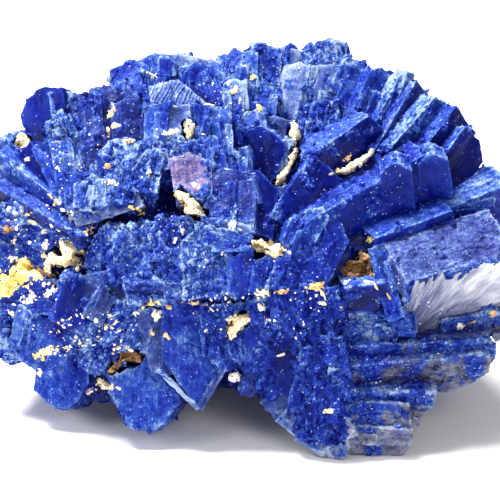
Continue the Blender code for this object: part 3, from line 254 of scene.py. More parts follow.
# Bits of clay and iron-stained clay lying on the crystals: across, up, length, width, degrees, kind
FLECKS = [
    (-30.1, 7.2, 3.5, 0.8, -50, "cream"), (-28.5, 5.4, 1.8, 1.0, -75, "cream"),
    (-31.7, 8.6, 1.6, 0.6, -45, "cream"), (-22.1, 22.1, 2.2, 1.0, 65, "cream"),
    (-21.3, 19.8, 1.4, 1.0, -20, "cream"), (-22.7, 18.9, 1.9, 0.6, -80, "cream"),
    (-15.8, 28.2, 1.9, 0.8, -15, "white"), (-12.3, 18.7, 2.6, 0.8, 12, "white"),
    (-13.6, 18.6, 1.0, 0.6, 80, "white"), (-7.5, 18.4, 1.3, 0.3, -10, "white"),
    (-7.0, 23.4, 2.9, 0.4, -12, "cream"), (-1.6, 24.0, 1.0, 0.6, 90, "cream"),
    (0.5, 27.7, 1.3, 0.8, 90, "yellow"), (1.6, 22.7, 1.4, 0.8, -60, "yellow"),
    (-2.4, 25.6, 1.9, 0.8, 75, "cream"), (-3.5, 26.6, 1.6, 0.5, 80, "cream"),
    (-10.6, 3.5, 2.2, 0.6, 90, "white"), (-2.7, 3.8, 1.4, 1.0, 60, "white"),
    (-11.8, 1.6, 1.4, 0.5, 75, "white"), (-1.6, 3.2, 1.3, 0.3, -15, "cream"),
    (-17.8, 6.2, 2.6, 1.1, -35, "yellow"), (-25.3, 3.2, 2.1, 1.0, 40, "ochre"),
    (-20.0, -2.4, 1.9, 0.4, -5, "white"), (5.3, 0.0, 2.2, 1.0, -38, "cream"),
    (0.3, 0.8, 1.6, 0.6, -45, "cream"), (3.2, 0.8, 1.4, 1.3, 60, "cream"), (1.3, 0.8, 2.2, 1.0, 0, "brown"),
    (1.9, -6.7, 2.6, 1.0, -5, "cream"), (4.8, -6.6, 2.9, 0.6, 8, "ochre"),
    (1.3, -7.4, 1.4, 0.6, 80, "white"), (1.9, -9.0, 1.4, 1.3, 90, "white"),
    (10.4, -5.6, 3.2, 1.1, 15, "ochre"), (11.5, -7.0, 2.1, 0.6, -60, "cream"),
    (11.4, -8.3, 1.3, 0.6, -20, "cream"), (15.2, -5.1, 1.6, 0.6, 35, "cream"),
    (18.2, -5.0, 1.9, 0.6, 5, "white"), (19.7, -5.6, 1.9, 0.5, -60, "cream"),
    (19.0, 1.6, 1.1, 1.0, 20, "yellow"), (19.4, -3.7, 1.1, 0.6, -60, "white"),
    (21.9, -7.5, 2.6, 0.4, -65, "ochre"), (18.2, -1.9, 2.2, 0.5, -70, "cream"),
    (17.3, -1.0, 2.2, 0.5, 30, "cream"), (-16.3, -8.6, 2.2, 0.8, 40, "yellow"),
    (-14.7, -10.2, 1.9, 1.3, 60, "white"), (-15.2, -8.5, 2.2, 0.8, 5, "yellow"),
    (-8.8, -8.3, 4.5, 0.6, -8, "ochre"), (-6.1, -9.4, 1.4, 0.5, -35, "white"),
    (-18.1, -10.1, 1.1, 0.6, 30, "white"), (-12.8, -9.0, 1.4, 0.6, -20, "ochre"),
    (-13.1, -13.6, 1.4, 0.8, -50, "ochre"), (-15.4, -13.1, 1.0, 0.6, -60, "ochre"),
    (-21.9, -10.4, 1.3, 0.6, -10, "cream"), (-21.1, -11.2, 1.4, 0.5, 55, "cream"),
    (-2.1, -10.7, 3.5, 1.0, 12, "cream"), (-3.0, -12.5, 2.9, 1.0, -60, "cream"),
    (-3.4, -8.3, 1.1, 0.6, 40, "white"), (-3.8, -7.5, 1.0, 0.5, 60, "white"),
    (-2.6, -20.0, 2.2, 1.6, 25, "white"), (-22.9, -21.6, 3.5, 1.4, -20, "cream"),
    (-21.1, -22.1, 1.0, 0.8, 30, "white"), (-25.3, -22.4, 1.6, 0.8, 20, "cream"),
    (-32.0, -16.0, 3.5, 1.3, 25, "cream"), (-33.6, -17.0, 1.9, 1.0, -10, "yellow"),
    (-29.4, -15.7, 2.2, 0.8, 15, "white"), (-33.6, -19.5, 1.1, 1.0, 60, "cream"),
    (-35.2, -7.7, 2.6, 1.6, 20, "white"), (-31.7, -6.7, 2.6, 1.0, 25, "white"),
    (-38.1, -10.1, 1.6, 0.8, -40, "cream"), (-38.7, 3.5, 1.9, 1.9, 10, "brown"),
    (-35.7, 5.6, 2.1, 0.6, 20, "cream"), (-34.7, 4.5, 1.6, 0.6, -30, "cream"),
    (-38.4, 6.7, 1.0, 0.6, 30, "cream"), (-32.8, 2.9, 1.1, 0.8, 10, "cream"),
    (-32.5, 0.8, 1.6, 1.0, 60, "cream"), (-37.8, -1.3, 1.9, 0.8, -5, "white"),
    (-32.8, -0.8, 1.9, 0.8, -70, "cream"), (-35.2, -1.9, 2.2, 0.6, -30, "brown"),
    (-32.8, -3.5, 3.2, 0.8, -35, "brown"), (-30.4, -1.9, 3.5, 1.6, 12, "cream"),
    (-29.4, 0.5, 2.9, 1.3, 20, "cream"), (-27.2, -2.4, 1.9, 1.3, 10, "cream"),
    (-36.8, -3.5, 3.5, 2.2, 20, "yellow"), (-39.0, -6.6, 2.2, 1.0, 30, "yellow"),
    (-35.7, 14.4, 0.8, 0.8, 0, "cream"), (-30.4, 12.8, 1.4, 0.6, -30, "white"),
    (-22.7, 13.3, 1.0, 0.8, 20, "ochre"), (-19.2, 17.3, 1.9, 0.8, 15, "cream"),
    (-16.0, 12.5, 1.0, 0.6, 75, "white"), (-21.8, 10.6, 2.2, 0.8, -8, "white"),
    (-17.1, 11.5, 0.5, 0.5, 0, "white"), (-31.0, 7.2, 0.8, 0.3, -50, "cream"),
    (-8.6, 10.2, 1.4, 0.6, -40, "cream"), (-11.0, 8.2, 2.2, 1.0, -70, "ochre"),
    (12.3, -25.3, 1.3, 1.0, 10, "cream"), (38.4, -10.1, 1.0, 1.0, 0, "ochre"),
    (33.3, -12.0, 1.0, 1.0, 20, "white"), (35.2, -11.5, 1.3, 0.6, 10, "ochre"),
    (14.4, -9.0, 0.6, 0.6, 0, "cream"), (5.1, -16.5, 1.9, 0.5, 15, "cream"),
    (7.0, 19.7, 1.1, 1.9, 0, "white"), (12.8, 12.0, 1.1, 0.5, 20, "cream"),
    (15.7, 14.7, 1.9, 0.6, 35, "ochre"), (5.4, 10.6, 1.3, 0.6, 50, "cream"),
    (-0.6, 29.4, 0.8, 0.6, 0, "cream"), (-36.5, 17.3, 1.9, 1.6, 60, "white"),
    # yellow clay that spreads from its wedge over the crystals beside it, and clay beside a lump
    (-34.9, -4.5, 5.6, 2.2, 16, "yellow"), (-38.2, -5.9, 5.4, 2.6, 27, "yellow"),
    (-36.4, -3.2, 3.2, 2.0, -30, "yellow"), (-41.0, -7.4, 3.6, 1.4, 30, "white"),
    (-2.9, -10.9, 1.7, 1.0, 10, "cream"), (-3.0, -12.5, 0.9, 1.6, 0, "white"),
]
# Material and slot of each kind of fleck
FLECK_KINDS = {
    "cream": ("cream_clay", "cream_clay"), "white": ("white_clay", "cream_clay"),
    "yellow": ("yellow_clay", "yellow_clay"), "ochre": ("ochre_clay", "limonite"),
    "brown": ("limonite", "limonite"),
}
# Zones of loose dust: middle, half sizes, how many, largest bit in millimetres, kinds
DUST = [
    ((-35.0, 0.5), (5.0, 6.5), 90, 0.9, ("white", "cream", "ochre", "cream")),
    ((-24.2, -13.2), (6.0, 2.9), 130, 0.9, ("white", "cream", "cream")),
    ((-33.0, -11.5), (6.0, 4.5), 60, 0.8, ("white", "cream")),
    ((-22.0, 13.0), (7.0, 6.0), 40, 0.6, ("white", "ochre", "cream")),
    ((2.0, -9.5), (8.0, 3.5), 50, 0.7, ("white", "cream", "white")),
    ((-30.0, 11.0), (3.5, 6.5), 60, 0.6, ("white", "cream", "ochre")),
    ((-8.0, 0.0), (14.0, 7.0), 60, 0.45, ("white", "white", "cream")),
    ((4.0, 22.0), (12.0, 8.0), 60, 0.45, ("white", "white")),
    ((18.0, -14.0), (16.0, 10.0), 60, 0.45, ("white", "white")),
    ((20.0, 8.0), (16.0, 10.0), 90, 0.30, ("white", "white")),
]
WHOLE_FLECK = 0.55               # a fleck slimmer than this, in millimetres, is one chip
CHIP_LEVEL, LUMP_LEVEL = 1, 3    # how finely the ball that a chip or a lump is made from is divided

# Finish of a crystal's faces: tone (0 navy to 1 pale), grain (0 glassy to 1 druzy), grey share
# (how much a painted reflection of the pale surroundings greys the blue), height in millimetres
# of its growth steps, hue of the grey (-1 neutral, 0 lavender, 1 pink),
# and the share of its broad face that a rough blue crust covers
FINISHES = {
    "dark": (0.14, 0.16, 0.16, 0.12, 0.0, 0.18),
    "navy": (0.22, 0.20, 0.05, 0.12, 0.0, 0.20),
    "shade": (0.34, 0.42, 0.50, 0.16, 0.0, 0.34),
    "deep": (0.36, 0.16, 0.00, 0.10, 0.0, 0.14),
    "blue": (0.52, 0.55, 0.04, 0.20, 0.0, 0.30),
    "light": (0.70, 0.60, 0.12, 0.22, 0.0, 0.30),
    "rough": (0.58, 1.00, 0.08, 0.30, 0.0, 0.0),
    "lilac_reflection": (0.66, 0.26, 0.85, 0.10, 0.0, 0.16),
    "pink": (0.64, 0.36, 0.95, 0.14, 1.0, 0.28),
    "comb": (0.72, 0.40, 0.50, 0.10, 0.0, 0.0),
    "grey": (0.30, 0.34, 0.50, 0.14, 0.0, 0.26),
    "slate": (0.52, 0.30, 0.80, 0.12, 0.0, 0.26),
    "ledge": (0.52, 0.50, 1.00, 0.16, -0.85, 0.48),
    "crusty": (0.52, 0.50, 1.00, 0.20, -0.85, 0.72),
    "scale": (0.32, 0.85, 0.05, 0.26, 0.0, 0.24),
    # the silver finish paints a streaked reflection on the block's broad face
    "silver_reflection": (0.62, 0.60, 0.55, 0.20, 0.0, 0.0),
    "rear": (0.42, 0.60, 0.06, 0.34, 0.0, 0.30),
}
CRUST_LOOK = (0.55, 0.95, 0.04, 0.26, 0.0)     # tone, grain, grey share, step and hue of the crust
BLOCK_LOOK = (0.56, 0.60, 0.62, 0.18, -0.20)   # the same for the other faces of the block whose front face has the painted silvery reflection
# How many smaller crystals grow on a crystal of each finish, and the crystals that have none
SATELLITES = {
    "blue": 3, "light": 3, "rough": 3, "crusty": 2, "scale": 4, "grey": 1, "slate": 1, "shade": 1,
}
BARE = ("thumb_rim", "lobe_f", "lobe_g", "rim_e1", "rim_e2", "lump_e")
REAR_PLATES = 340                # plates half sunk into the hidden side
REAR_SHEAVES = 34                # and the sheaves that they are grouped in
DRUSE_COUNT = 3400
# Places with a finer skin: left, right, low and high in millimetres, and the longest edge there
FINE_ZONES = [
    ((-16.8, -6.4, 22.4, 27.8), 0.17 * MM),
    ((-11.4, -3.0, 23.0, 30.6), 0.19 * MM),
    ((24.0, 42.8, -11.5, 0.5), 0.28 * MM),
]
# Crystals that are a stack of thin plates: direction across the plates (side, axis), spacing
STACKS = {"comb_plate": (0.88, -0.48, 0.58 * MM), "lamellae_blue": (0.94, 0.34, 0.66 * MM)}
STACK_NAMES = tuple(STACKS)
STACK_TONE, STACK_RELIEF = 0.24, 0.24 * MM     # how much lighter and higher a plate's edge is
FAN = (23.5, -15.0)              # where the ridges of the face with the painted silvery reflection spread from, across and up
CELL, HALF_MAP = 0.8, 50.0       # cell and half size, in millimetres, of the map that shades the gaps
# tone of the painted shade in the gaps and of the painted highlight on the crests
GAP_SHADE, CREST_SHADE = -0.34, 0.05
BROAD = 0.9                      # a face whose normal is this near its crystal's front is the broad one
RIM_STEP = 0.25 * MM             # spacing of the samples along a rim
CHIP_DEPTH = 0.55 * MM           # how deep a rim is chipped
LOWEST_PLATE = 10 * MM           # no plate is seated below this
SPLIT_ACROSS, SPLIT_UP = -9.0, -2.0            # where the pieces of the skin meet
FAR_OUT = 40.0                   # a place out here is in front of every crystal
# Sizes in millimetres, along side, front and axis, of a bundle and of a block of growth steps
BUNDLE, BLOCK = (1.8, 1.5, 6.0), (0.85, 1.2, 2.8)
CRUMB = 0.6                      # and of a crumb, all ways
# A crystal of the druse: corners in shares of its width, thickness and height, and triangles
DRUSE_CORNERS = (
    (-.5, -.5, -.6), (.5, -.5, -.6), (.5, .5, -.6), (-.5, .5, -.6),
    (-.5, -.5, .45), (.5, -.5, .35), (.5, .5, .35), (-.5, .5, .45),
    (-.22, 0, .8), (.3, 0, .7),
)
DRUSE_TRIANGLES = (
    (0, 2, 1), (0, 3, 2), (0, 1, 5), (0, 5, 4), (2, 3, 7), (2, 7, 6), (1, 2, 6), (1, 6, 5),
    (3, 0, 4), (3, 4, 7), (4, 5, 9), (4, 9, 8), (6, 7, 8), (6, 8, 9), (5, 6, 9), (7, 4, 8),
)


# ---------------------------------------------------------------- places

def to_world(places):
    """World places, in metres, of display places in millimetres."""
    p = np.asarray(places, float).reshape(-1, 3) * MM
    return np.stack((
        p[:, 0] + SHIFT_X,
        p[:, 1] * math.sin(LEAN) - p[:, 2] * math.cos(LEAN) + SHIFT_Y,
        p[:, 1] * math.cos(LEAN) + p[:, 2] * math.sin(LEAN) + LIFT,
    ), axis=1)


def to_display(points):
    """Display places, in millimetres, of world points in metres."""
    a, b = points[:, 1] - SHIFT_Y, points[:, 2] - LIFT
    return np.stack((
        points[:, 0] - SHIFT_X,
        a * math.sin(LEAN) + b * math.cos(LEAN),
        b * math.sin(LEAN) - a * math.cos(LEAN),
    ), axis=1) / MM


def world_point(place):
    return Vector(to_world([place])[0])


def world_direction(direction):
    across, up, out = direction
    return Vector((
        across,
        up * math.sin(LEAN) - out * math.cos(LEAN),
        up * math.cos(LEAN) + out * math.sin(LEAN),
    )).normalized()


OUT = world_direction((0.0, 0.0, 1.0))                 # from the display plane to whoever looks
UP = np.array((0.0, math.sin(LEAN), math.cos(LEAN)))   # up along the display plane


def triangle_cross(points, tris):
    """Each triangle's normal, twice as long as its area."""
    corners = points[tris]
    return np.cross(corners[:, 1] - corners[:, 0], corners[:, 2] - corners[:, 0])


def lengths(vectors):
    return np.linalg.norm(vectors, axis=1)


def unit(vectors, least=1e-15):
    return vectors / np.maximum(lengths(vectors)[:, None], least)


def summed(index, rows, count):
    """Sum of the rows that share an index, for each index up to count."""
    return np.stack([np.bincount(index, column, count) for column in rows.T], 1)


# ---------------------------------------------------------------- noise

def hashed(cells, salt):
    """A number from 0 to 1 for each whole-number cell."""
    c = cells.astype(np.int64)
    h = (c[:, 0] * 374761393 + c[:, 1] * 668265263 + c[:, 2] * 1442695041 + salt * 974634777) & 0xFFFFFFFF
    h ^= h >> 15
    h = (h * 2246822519) & 0xFFFFFFFF
    h ^= h >> 13
    h = (h * 3266489917) & 0xFFFFFFFF
    h ^= h >> 16
    return h / 4294967296.0


def noise(points, size, salt):
    """Smooth noise from -1 to 1 with lumps of the given size in metres."""
    q = points / size
    cell = np.floor(q)
    f = q - cell
    f = f * f * (3.0 - 2.0 * f)
    total = np.zeros(len(points))
    for corner in range(8):
        step = np.array((corner & 1, corner >> 1 & 1, corner >> 2 & 1))
        weight = np.prod(np.where(step, f, 1.0 - f), axis=1)
        total += weight * hashed(cell + step, salt)
    return total * 2.0 - 1.0


def line_noise(values, size, salt):
    """Smooth noise from -1 to 1 along one number."""
    return noise(np.stack((values, values * 0, values * 0), 1), size, salt)


def mosaic(q, salt, tilt):
    """Tilted flat facets, one for each scattered seed: q is in units of the facet size."""
    base = np.floor(q)
    best = np.full(len(q), 1e9)
    owner = np.zeros_like(base)
    away = np.zeros_like(q)
    for around in np.ndindex(3, 3, 3):
        cell = base + np.array(around) - 1
        seed = cell + np.stack([hashed(cell, salt + k) for k in (1, 2, 3)], axis=1)
        offset = q - seed
        d = np.einsum("ij,ij->i", offset, offset)
        nearer = d < best
        best[nearer] = d[nearer]
        owner[nearer] = cell[nearer]
        away[nearer] = offset[nearer]
    height = hashed(owner, salt + 4) * 2.0 - 1.0
    slope = np.stack([hashed(owner, salt + k) * 2.0 - 1.0 for k in (5, 6, 7)], axis=1)
    return height + tilt * np.einsum("ij,ij->i", slope, away)


# ---------------------------------------------------------------- crystal bodies

def cut_away(bm, point, normal):
    geometry = bm.verts[:] + bm.edges[:] + bm.faces[:]
    bmesh.ops.bisect_plane(
        bm, geom=geometry, dist=CUT_WELD, plane_co=point, plane_no=normal, clear_outer=True)
    rim = [edge for edge in bm.edges if edge.is_boundary]
    if rim:
        bmesh.ops.holes_fill(bm, edges=rim, sides=0)


def cut_slope(bm, point, slope, outward):
    """Cuts along a slope whose normal is turned to look outward."""
    cut_away(bm, point, slope if slope.dot(outward) > 0.0 else -slope)


def crystal_frame(root, tip, facing):
    """Side, front and axis of a crystal, as the rows of a matrix."""
    axis = (tip - root).normalized()
    front = (facing - axis * facing.dot(axis)).normalized()
    return axis.cross(front), front, axis


def crystal_body(root, tip, facing, width, thickness, shoulders, taper, rounded=False):
    """A tabular crystal whose broad face runs from root to tip and looks along facing."""
    side, front, axis = crystal_frame(root, tip, facing)
    length = (tip - root).length
    bm = bmesh.new()
    bmesh.ops.create_cube(bm, size=1.0)
    turn = Matrix((side, front, axis)).transposed().to_4x4()
    middle = (root + tip) / 2.0 - front * (thickness / 2.0)
    box = Matrix.Diagonal((width, thickness, length, 1.0))
    bmesh.ops.transform(bm, matrix=Matrix.Translation(middle) @ turn @ box, verts=bm.verts)
    bevel = EDGE_BEVEL * min(width, thickness)
    for sign, shoulder in ((-1.0, shoulders[0]), (1.0, shoulders[1])):
        tip_corner = tip + side * (sign * width / 2.0)
        root_corner = root + side * (sign * width * taper / 2.0)
        edge = tip_corner - root_corner
        cut_away(bm, tip_corner, edge.cross(front) * sign)
        if shoulder > 0.0:
            low = tip_corner - axis * shoulder
            cut_slope(bm, low, (tip - low).cross(front), axis)
        if shoulder > 0.0 and rounded:
            upper = tip.lerp(low, CORNER_SHARE)
            lower = low + (root_corner - low).normalized() * (shoulder * CORNER_SHARE)
            cut_slope(bm, lower, (upper - lower).cross(front), axis)
        inner = tip + side * (sign * (width / 2.0 - bevel))
        cut_slope(bm, inner, edge.cross(inner - (tip_corner - front * bevel)), front)
    if rounded:
        cut_away(bm, tip - axis * (CROWN_SHARE * min(shoulders)), axis)
    return bm


def display_facing(yaw, pitch):
    yaw, pitch = math.radians(yaw), math.radians(pitch)
    return world_direction((math.sin(yaw) * math.cos(pitch), math.sin(pitch), math.cos(yaw) * math.cos(pitch)))


def seen_width(root, tip, facing, width):
    """The real width of a crystal that looks as wide as given from the front."""
    side = crystal_frame(root, tip, facing)[0]
    return width / max(SLIMMEST_SEEN, (side - OUT * side.dot(OUT)).length)


def scale_rows():
    """The crystals of the scaly patch, as rows of CRYSTALS."""
    rows = []
    for index, (middle, direction) in enumerate(SCALES):
        angle = math.radians(direction)
        across, up = math.cos(angle) * SCALE_HALF, math.sin(angle) * SCALE_HALF
        root = (middle[0] - across, middle[1] - up, middle[2] + SCALE_DROP)
        tip = (middle[0] + across, middle[1] + up, middle[2] - SCALE_DROP)
        finish = "navy" if index in DARK_SCALES else "scale"
        rows.append(("scale_%02d" % index, finish, root, tip, *SCALE_BODY))
    return rows


def front_bodies():
    """Each front crystal's name, finish, axes, face planes, root, tip and width."""
    found = []
    for name, finish, root, tip, width, thickness, face, shoulders, taper in CRYSTALS + scale_rows():
        start, end = world_point(root), world_point(tip)
        facing = display_facing(*face)
        wide = seen_width(start, end, facing, width * MM)
        sizes = (shoulders[0] * MM, shoulders[1] * MM)
        bm = crystal_body(start, end, facing, wide, thickness * MM, sizes, taper, name in ROUNDED)
        for part in bm.faces:
            part.normal_update()
        bmesh.ops.recalc_face_normals(bm, faces=bm.faces)
        planes = np.array([(*part.normal, part.normal.dot(part.verts[0].co)) for part in bm.faces])
        bm.free()
        axes = np.array(crystal_frame(start, end, facing))
        found.append({"name": name, "finish": finish, "axes": axes, "planes": planes,
                      "root": start, "tip": end, "width": wide})
    return found


# ---------------------------------------------------------------- fine meshes

def turned(tris, mids, rows, first):
    """Corners a, b, c and edge middles ab, bc, ca of some triangles, from the edge numbered first."""
    turn = (first[:, None] + np.arange(3)) % 3
    return (*np.take_along_axis(tris[rows], turn, 1).T, *np.take_along_axis(mids[rows], turn, 1).T)


def split_triangles(points, tris, mids):
    """Triangles cut at the middle points of their edges (-1 for none), and the row each came from."""
    count = (mids >= 0).sum(axis=1)
    whole, one, two, three = (np.flatnonzero(count == number) for number in range(4))
    new, parent = [tris[whole]], [whole]

    def add(rows, *triangles):
        for triangle in triangles:
            new.append(np.stack(triangle, 1))
            parent.append(rows)

    a, b, c, ab, bc, ca = turned(tris, mids, one, np.argmax(mids[one] >= 0, axis=1))
    add(one, (a, ab, c), (ab, b, c))
    a, b, c, ab, bc, ca = turned(tris, mids, two, (np.argmax(mids[two] < 0, axis=1) + 1) % 3)
    near = lengths(points[a] - points[bc]) < lengths(points[ab] - points[c])
    add(two, (ab, b, bc), (a, ab, np.where(near, bc, c)), (np.where(near, a, ab), bc, c))
    a, b, c, ab, bc, ca = turned(tris, mids, three, np.zeros(len(three), int))
    add(three, (a, ab, ca), (ab, b, bc), (ca, bc, c), (ab, bc, ca))
    return np.vstack(new), np.concatenate(parent)


def refine(points, tris, owner, limit):
    """Split the longest edges of long triangles until each is within limit(middles)."""
    for _ in range(MOST_ROUNDS):
        edges = np.sort(tris[:, [[0, 1], [1, 2], [2, 0]]].reshape(-1, 2), axis=1)
        keys, inverse = np.unique(edges[:, 0] * len(points) + edges[:, 1], return_inverse=True)
        a, b = keys // len(points), keys % len(points)
        length = lengths(points[a] - points[b])
        middle = (points[a] + points[b]) / 2.0
        by_tri = inverse.reshape(-1, 3)
        longest = by_tri[np.arange(len(tris)), np.argmax(length[by_tri], axis=1)]
        split = np.zeros(len(keys), bool)
        split[longest] = True
        split &= length > limit(middle)
        if not split.any():
            break
        number = np.full(len(keys), -1)
        number[split] = len(points) + np.arange(split.sum())
        points = np.vstack((points, middle[split]))
        tris, parent = split_triangles(points, tris, number[by_tri])
        owner = owner[parent]
    return points, tris, owner


def mesh_arrays(bm):
    """Points, triangles and normals of a mesh of triangles."""
    points = np.array([v.co[:] for v in bm.verts], float).reshape(-1, 3)
    tris = np.array([[v.index for v in f.verts] for f in bm.faces], np.int64).reshape(-1, 3)
    normals = np.array([f.normal[:] for f in bm.faces], float).reshape(-1, 3)
    return points, tris, normals


def node_mesh(name):
    """A CAD node's mesh, welded and cut into triangles."""
    bm = bmesh.new()
    bm.from_mesh(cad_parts[name].data)
    bmesh.ops.remove_doubles(bm, verts=bm.verts, dist=NODE_WELD)
    bmesh.ops.triangulate(bm, faces=bm.faces)
    bm.faces.ensure_lookup_table()
    bm.faces.index_update()
    bm.verts.index_update()
    for part in bm.faces:
        part.normal_update()
    return bm


def ball(level):
    bm = bmesh.new()
    bmesh.ops.create_icosphere(bm, subdivisions=level, radius=1.0)
    points, tris, _ = mesh_arrays(bm)
    bm.free()
    return points, tris


def make_piece(name, points, tris, material, looks, smooth_angle):
    """A mesh object on the root body, with per-point look values for its material."""
    used, tris = np.unique(tris, return_inverse=True)
    tris = tris.reshape(-1, 3)
    points = points[used]
    mesh = bpy.data.meshes.new(name)
    mesh.vertices.add(len(points))
    mesh.vertices.foreach_set("co", points.astype(np.float32).ravel())
    mesh.loops.add(tris.size)
    mesh.loops.foreach_set("vertex_index", tris.astype(np.int32).ravel())
    mesh.polygons.add(len(tris))
    mesh.polygons.foreach_set("loop_start", np.arange(0, tris.size, 3, dtype=np.int32))
    mesh.update(calc_edges=True)
    mesh.polygons.foreach_set("use_smooth", np.ones(len(tris), bool))
    mesh.set_sharp_from_angle(angle=math.radians(smooth_angle))
    for key, values in looks.items():
        flat = values.ndim == 1
        layer = mesh.attributes.new(key, "FLOAT" if flat else "FLOAT_VECTOR", "POINT")
        layer.data.foreach_set("value" if flat else "vector", values[used].astype(np.float32).ravel())
    mesh.materials.append(MATERIALS[material])
    mesh.validate()
    obj = bpy.data.objects.new(name, mesh)
    bpy.context.scene.collection.objects.link(obj)
    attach(obj, "root")
    return obj


# ---------------------------------------------------------------- the cluster's skin

def sharp_edges(bm):
    """Ends of the edges where two faces meet in a sharp outer edge."""
    found = []
    for edge in bm.edges:
        if len(edge.link_faces) == 2 and edge.calc_face_angle_signed(0.0) > SHARP:
            found.append((edge.verts[0].co.copy(), edge.verts[1].co.copy()))
    return found


def union_mesh():
    """The CAD cluster as points, triangles, flat-face number of each, normals and sharp edges."""
    bm = node_mesh("azurite_cluster")
    flat = [-1] * len(bm.faces)
    count = 0
    for first in bm.faces:
        if flat[first.index] >= 0:
            continue
        flat[first.index] = count
        front = [first]
        while front:
            part = front.pop()
            for edge in part.edges:
                for other in edge.link_faces:
                    if flat[other.index] < 0 and other.normal.dot(first.normal) > SAME_WAY:
                        flat[other.index] = count
                        front.append(other)
        count += 1
    points, tris, normals = mesh_arrays(bm)
    rims = sharp_edges(bm)
    bm.free()
    return points, tris, np.array(flat), normals, rims


def flat_faces(points, tris, flat, normals):
    """Normal and middle of each flat face."""
    area = lengths(triangle_cross(points, tris))[:, None] / 2.0
    count = flat.max() + 1
    total = summed(flat, area, count)
    middle = summed(flat, area * points[tris].mean(1), count)
    return unit(summed(flat, area * normals, count), 1e-12), middle / np.maximum(total, 1e-15)


def owners_of(normal, middle, bodies):
    """For each flat face the front crystal whose own face it lies on, or -1."""
    owner = np.full(len(normal), -1)
    for index, body in enumerate(bodies):
        n, d = body["planes"][:, :3], body["planes"][:, 3]
        same = (normal @ n.T > 0.9995) & (np.abs(middle @ n.T - d) < 6e-6)
        inside = (middle @ n.T - d < 2e-5).all(axis=1)
        owner[same.any(axis=1) & inside & (owner < 0)] = index
    return owner


def skin_limit(middle):
    """Longest mesh edge allowed at each place: fine where the front view looks."""
    place = to_display(middle)
    front = np.clip((place[:, 2] - HIDDEN_OUT) / 4.0, 0.0, 1.0)
    limit = REAR_EDGE + (FRONT_EDGE - REAR_EDGE) * front
    for (left, right, low, high), edge in FINE_ZONES:
        inside = (place[:, 0] > left) & (place[:, 0] < right) & (place[:, 1] > low) & (place[:, 1] < high)
        limit = np.where(inside & (front > 0.5), np.minimum(limit, edge), limit)
    return limit


def rim_distance(points, rims, reach):
    """Distance of each point from the nearest sharp outer edge, up to reach."""
    samples = []
    for a, b in rims:
        steps = max(2, int((b - a).length / RIM_STEP))
        samples += [a.lerp(b, k / steps) for k in range(steps + 1)]
    tree = KDTree(len(samples))
    for index, co in enumerate(samples):
        tree.insert(co, index)
    tree.balance()
    found = np.array([tree.find(co)[2] for co in points.tolist()])
    return np.minimum(found, reach)


def face_look(finish, normal, axes, rng):
    """Tone, grain, grey share, step, hue and crust of one flat face, by how it is turned: painted light makes
    a face turned up lighter and one turned down darker.
    """
    tone, grain, lilac_reflection, step, hue, crust = FINISHES[finish]
    up = float(normal @ UP)
    narrow = float(normal @ axes[1]) < BROAD
    # Painted light from above: tops get a lighter tone and undersides a darker one; narrow tops are also
    # rougher and less grey
    if finish != "rear" and narrow and up > 0.25:
        tone = max(tone, 0.46) + 0.20 * up
        grain = max(grain, 0.70)
        lilac_reflection *= 0.35
    elif up > 0.3:
        tone += 0.14 * up
        grain += 0.2 * up
    elif up < -0.3:
        tone += 0.10 * up
    if finish == "silver_reflection" and narrow:
        tone, grain, lilac_reflection, step, hue = BLOCK_LOOK
    if narrow:
        crust *= 0.5
    return tone + rng.uniform(-0.06, 0.06), grain, lilac_reflection, step, hue, crust


def crystal_places(p, axes, seat):
    """Each point's place from its crystal's root along side, front and axis."""
    return np.einsum("nij,nj->ni", axes, p - seat[:, :3])


def plates(p, axes, seat, kind):
    """Height from 0 to 1 of the saw-tooth made by the edges of stacked plates."""
    local = crystal_places(p, axes, seat)
    rise = np.zeros(len(p))
    for number, (side, axis, pitch) in enumerate(STACKS.values()):
        bend = 40.0 * local[:, 0] * np.abs(local[:, 0])
        phase = (side * local[:, 0] + axis * local[:, 2] + bend) / pitch + 0.7 * noise(p, 2.2 * MM, 460)
        tooth = phase - np.floor(phase)
        level = hashed(np.stack((np.floor(phase), phase * 0, phase * 0), 1), 461)
        rise = np.where(kind == number + 1, 0.65 * tooth ** 2 + 0.35 * level, rise)
    return rise


def crusted(p, axes, seat, share):
    """How far a rough crust covers each point: it starts at the crystal's root and upper side."""
    local = crystal_places(p, axes, seat)
    down = -local[:, 0] / seat[:, 3] * np.sign(axes[:, 0] @ UP)
    along = local[:, 2] / seat[:, 4]
    patchy = 0.70 * noise(p, 3.2 * MM, 440) + 0.45 * noise(p, 1.2 * MM, 445) + 0.40 * noise(p, 0.5 * MM, 447)
    level = 0.45 * down + 0.55 * (along - 0.5) + patchy
    return np.clip((1.6 * (share - 0.5) - level) / 0.30 + 0.5, 0, 1) * (share > 0)


def toothed(p, axes, seat):
    """The rough border along the top and the root of the face with the painted silvery reflection, toothed
    along its ridges.
    """
    local = crystal_places(p, axes, seat)
    below = 0.5 - local[:, 0] / seat[:, 3] * np.sign(axes[:, 0] @ UP)
    along = local[:, 2] / seat[:, 4]
    place = to_display(p)
    angle = np.arctan2(place[:, 1] - FAN[1], place[:, 0] - FAN[0]) * 12.0 * MM
    teeth = line_noise(angle, 0.5 * MM, 450)
    border = 0.05 + (0.10 + 0.16 * teeth) * (1.1 - along) + 0.04 * noise(p, 0.7 * MM, 455)
    left = 0.03 + 0.03 * noise(p, 1.0 * MM, 456)
    return np.clip(np.maximum((border - below) / 0.03, (left - along) / 0.02) + 0.5, 0, 1)


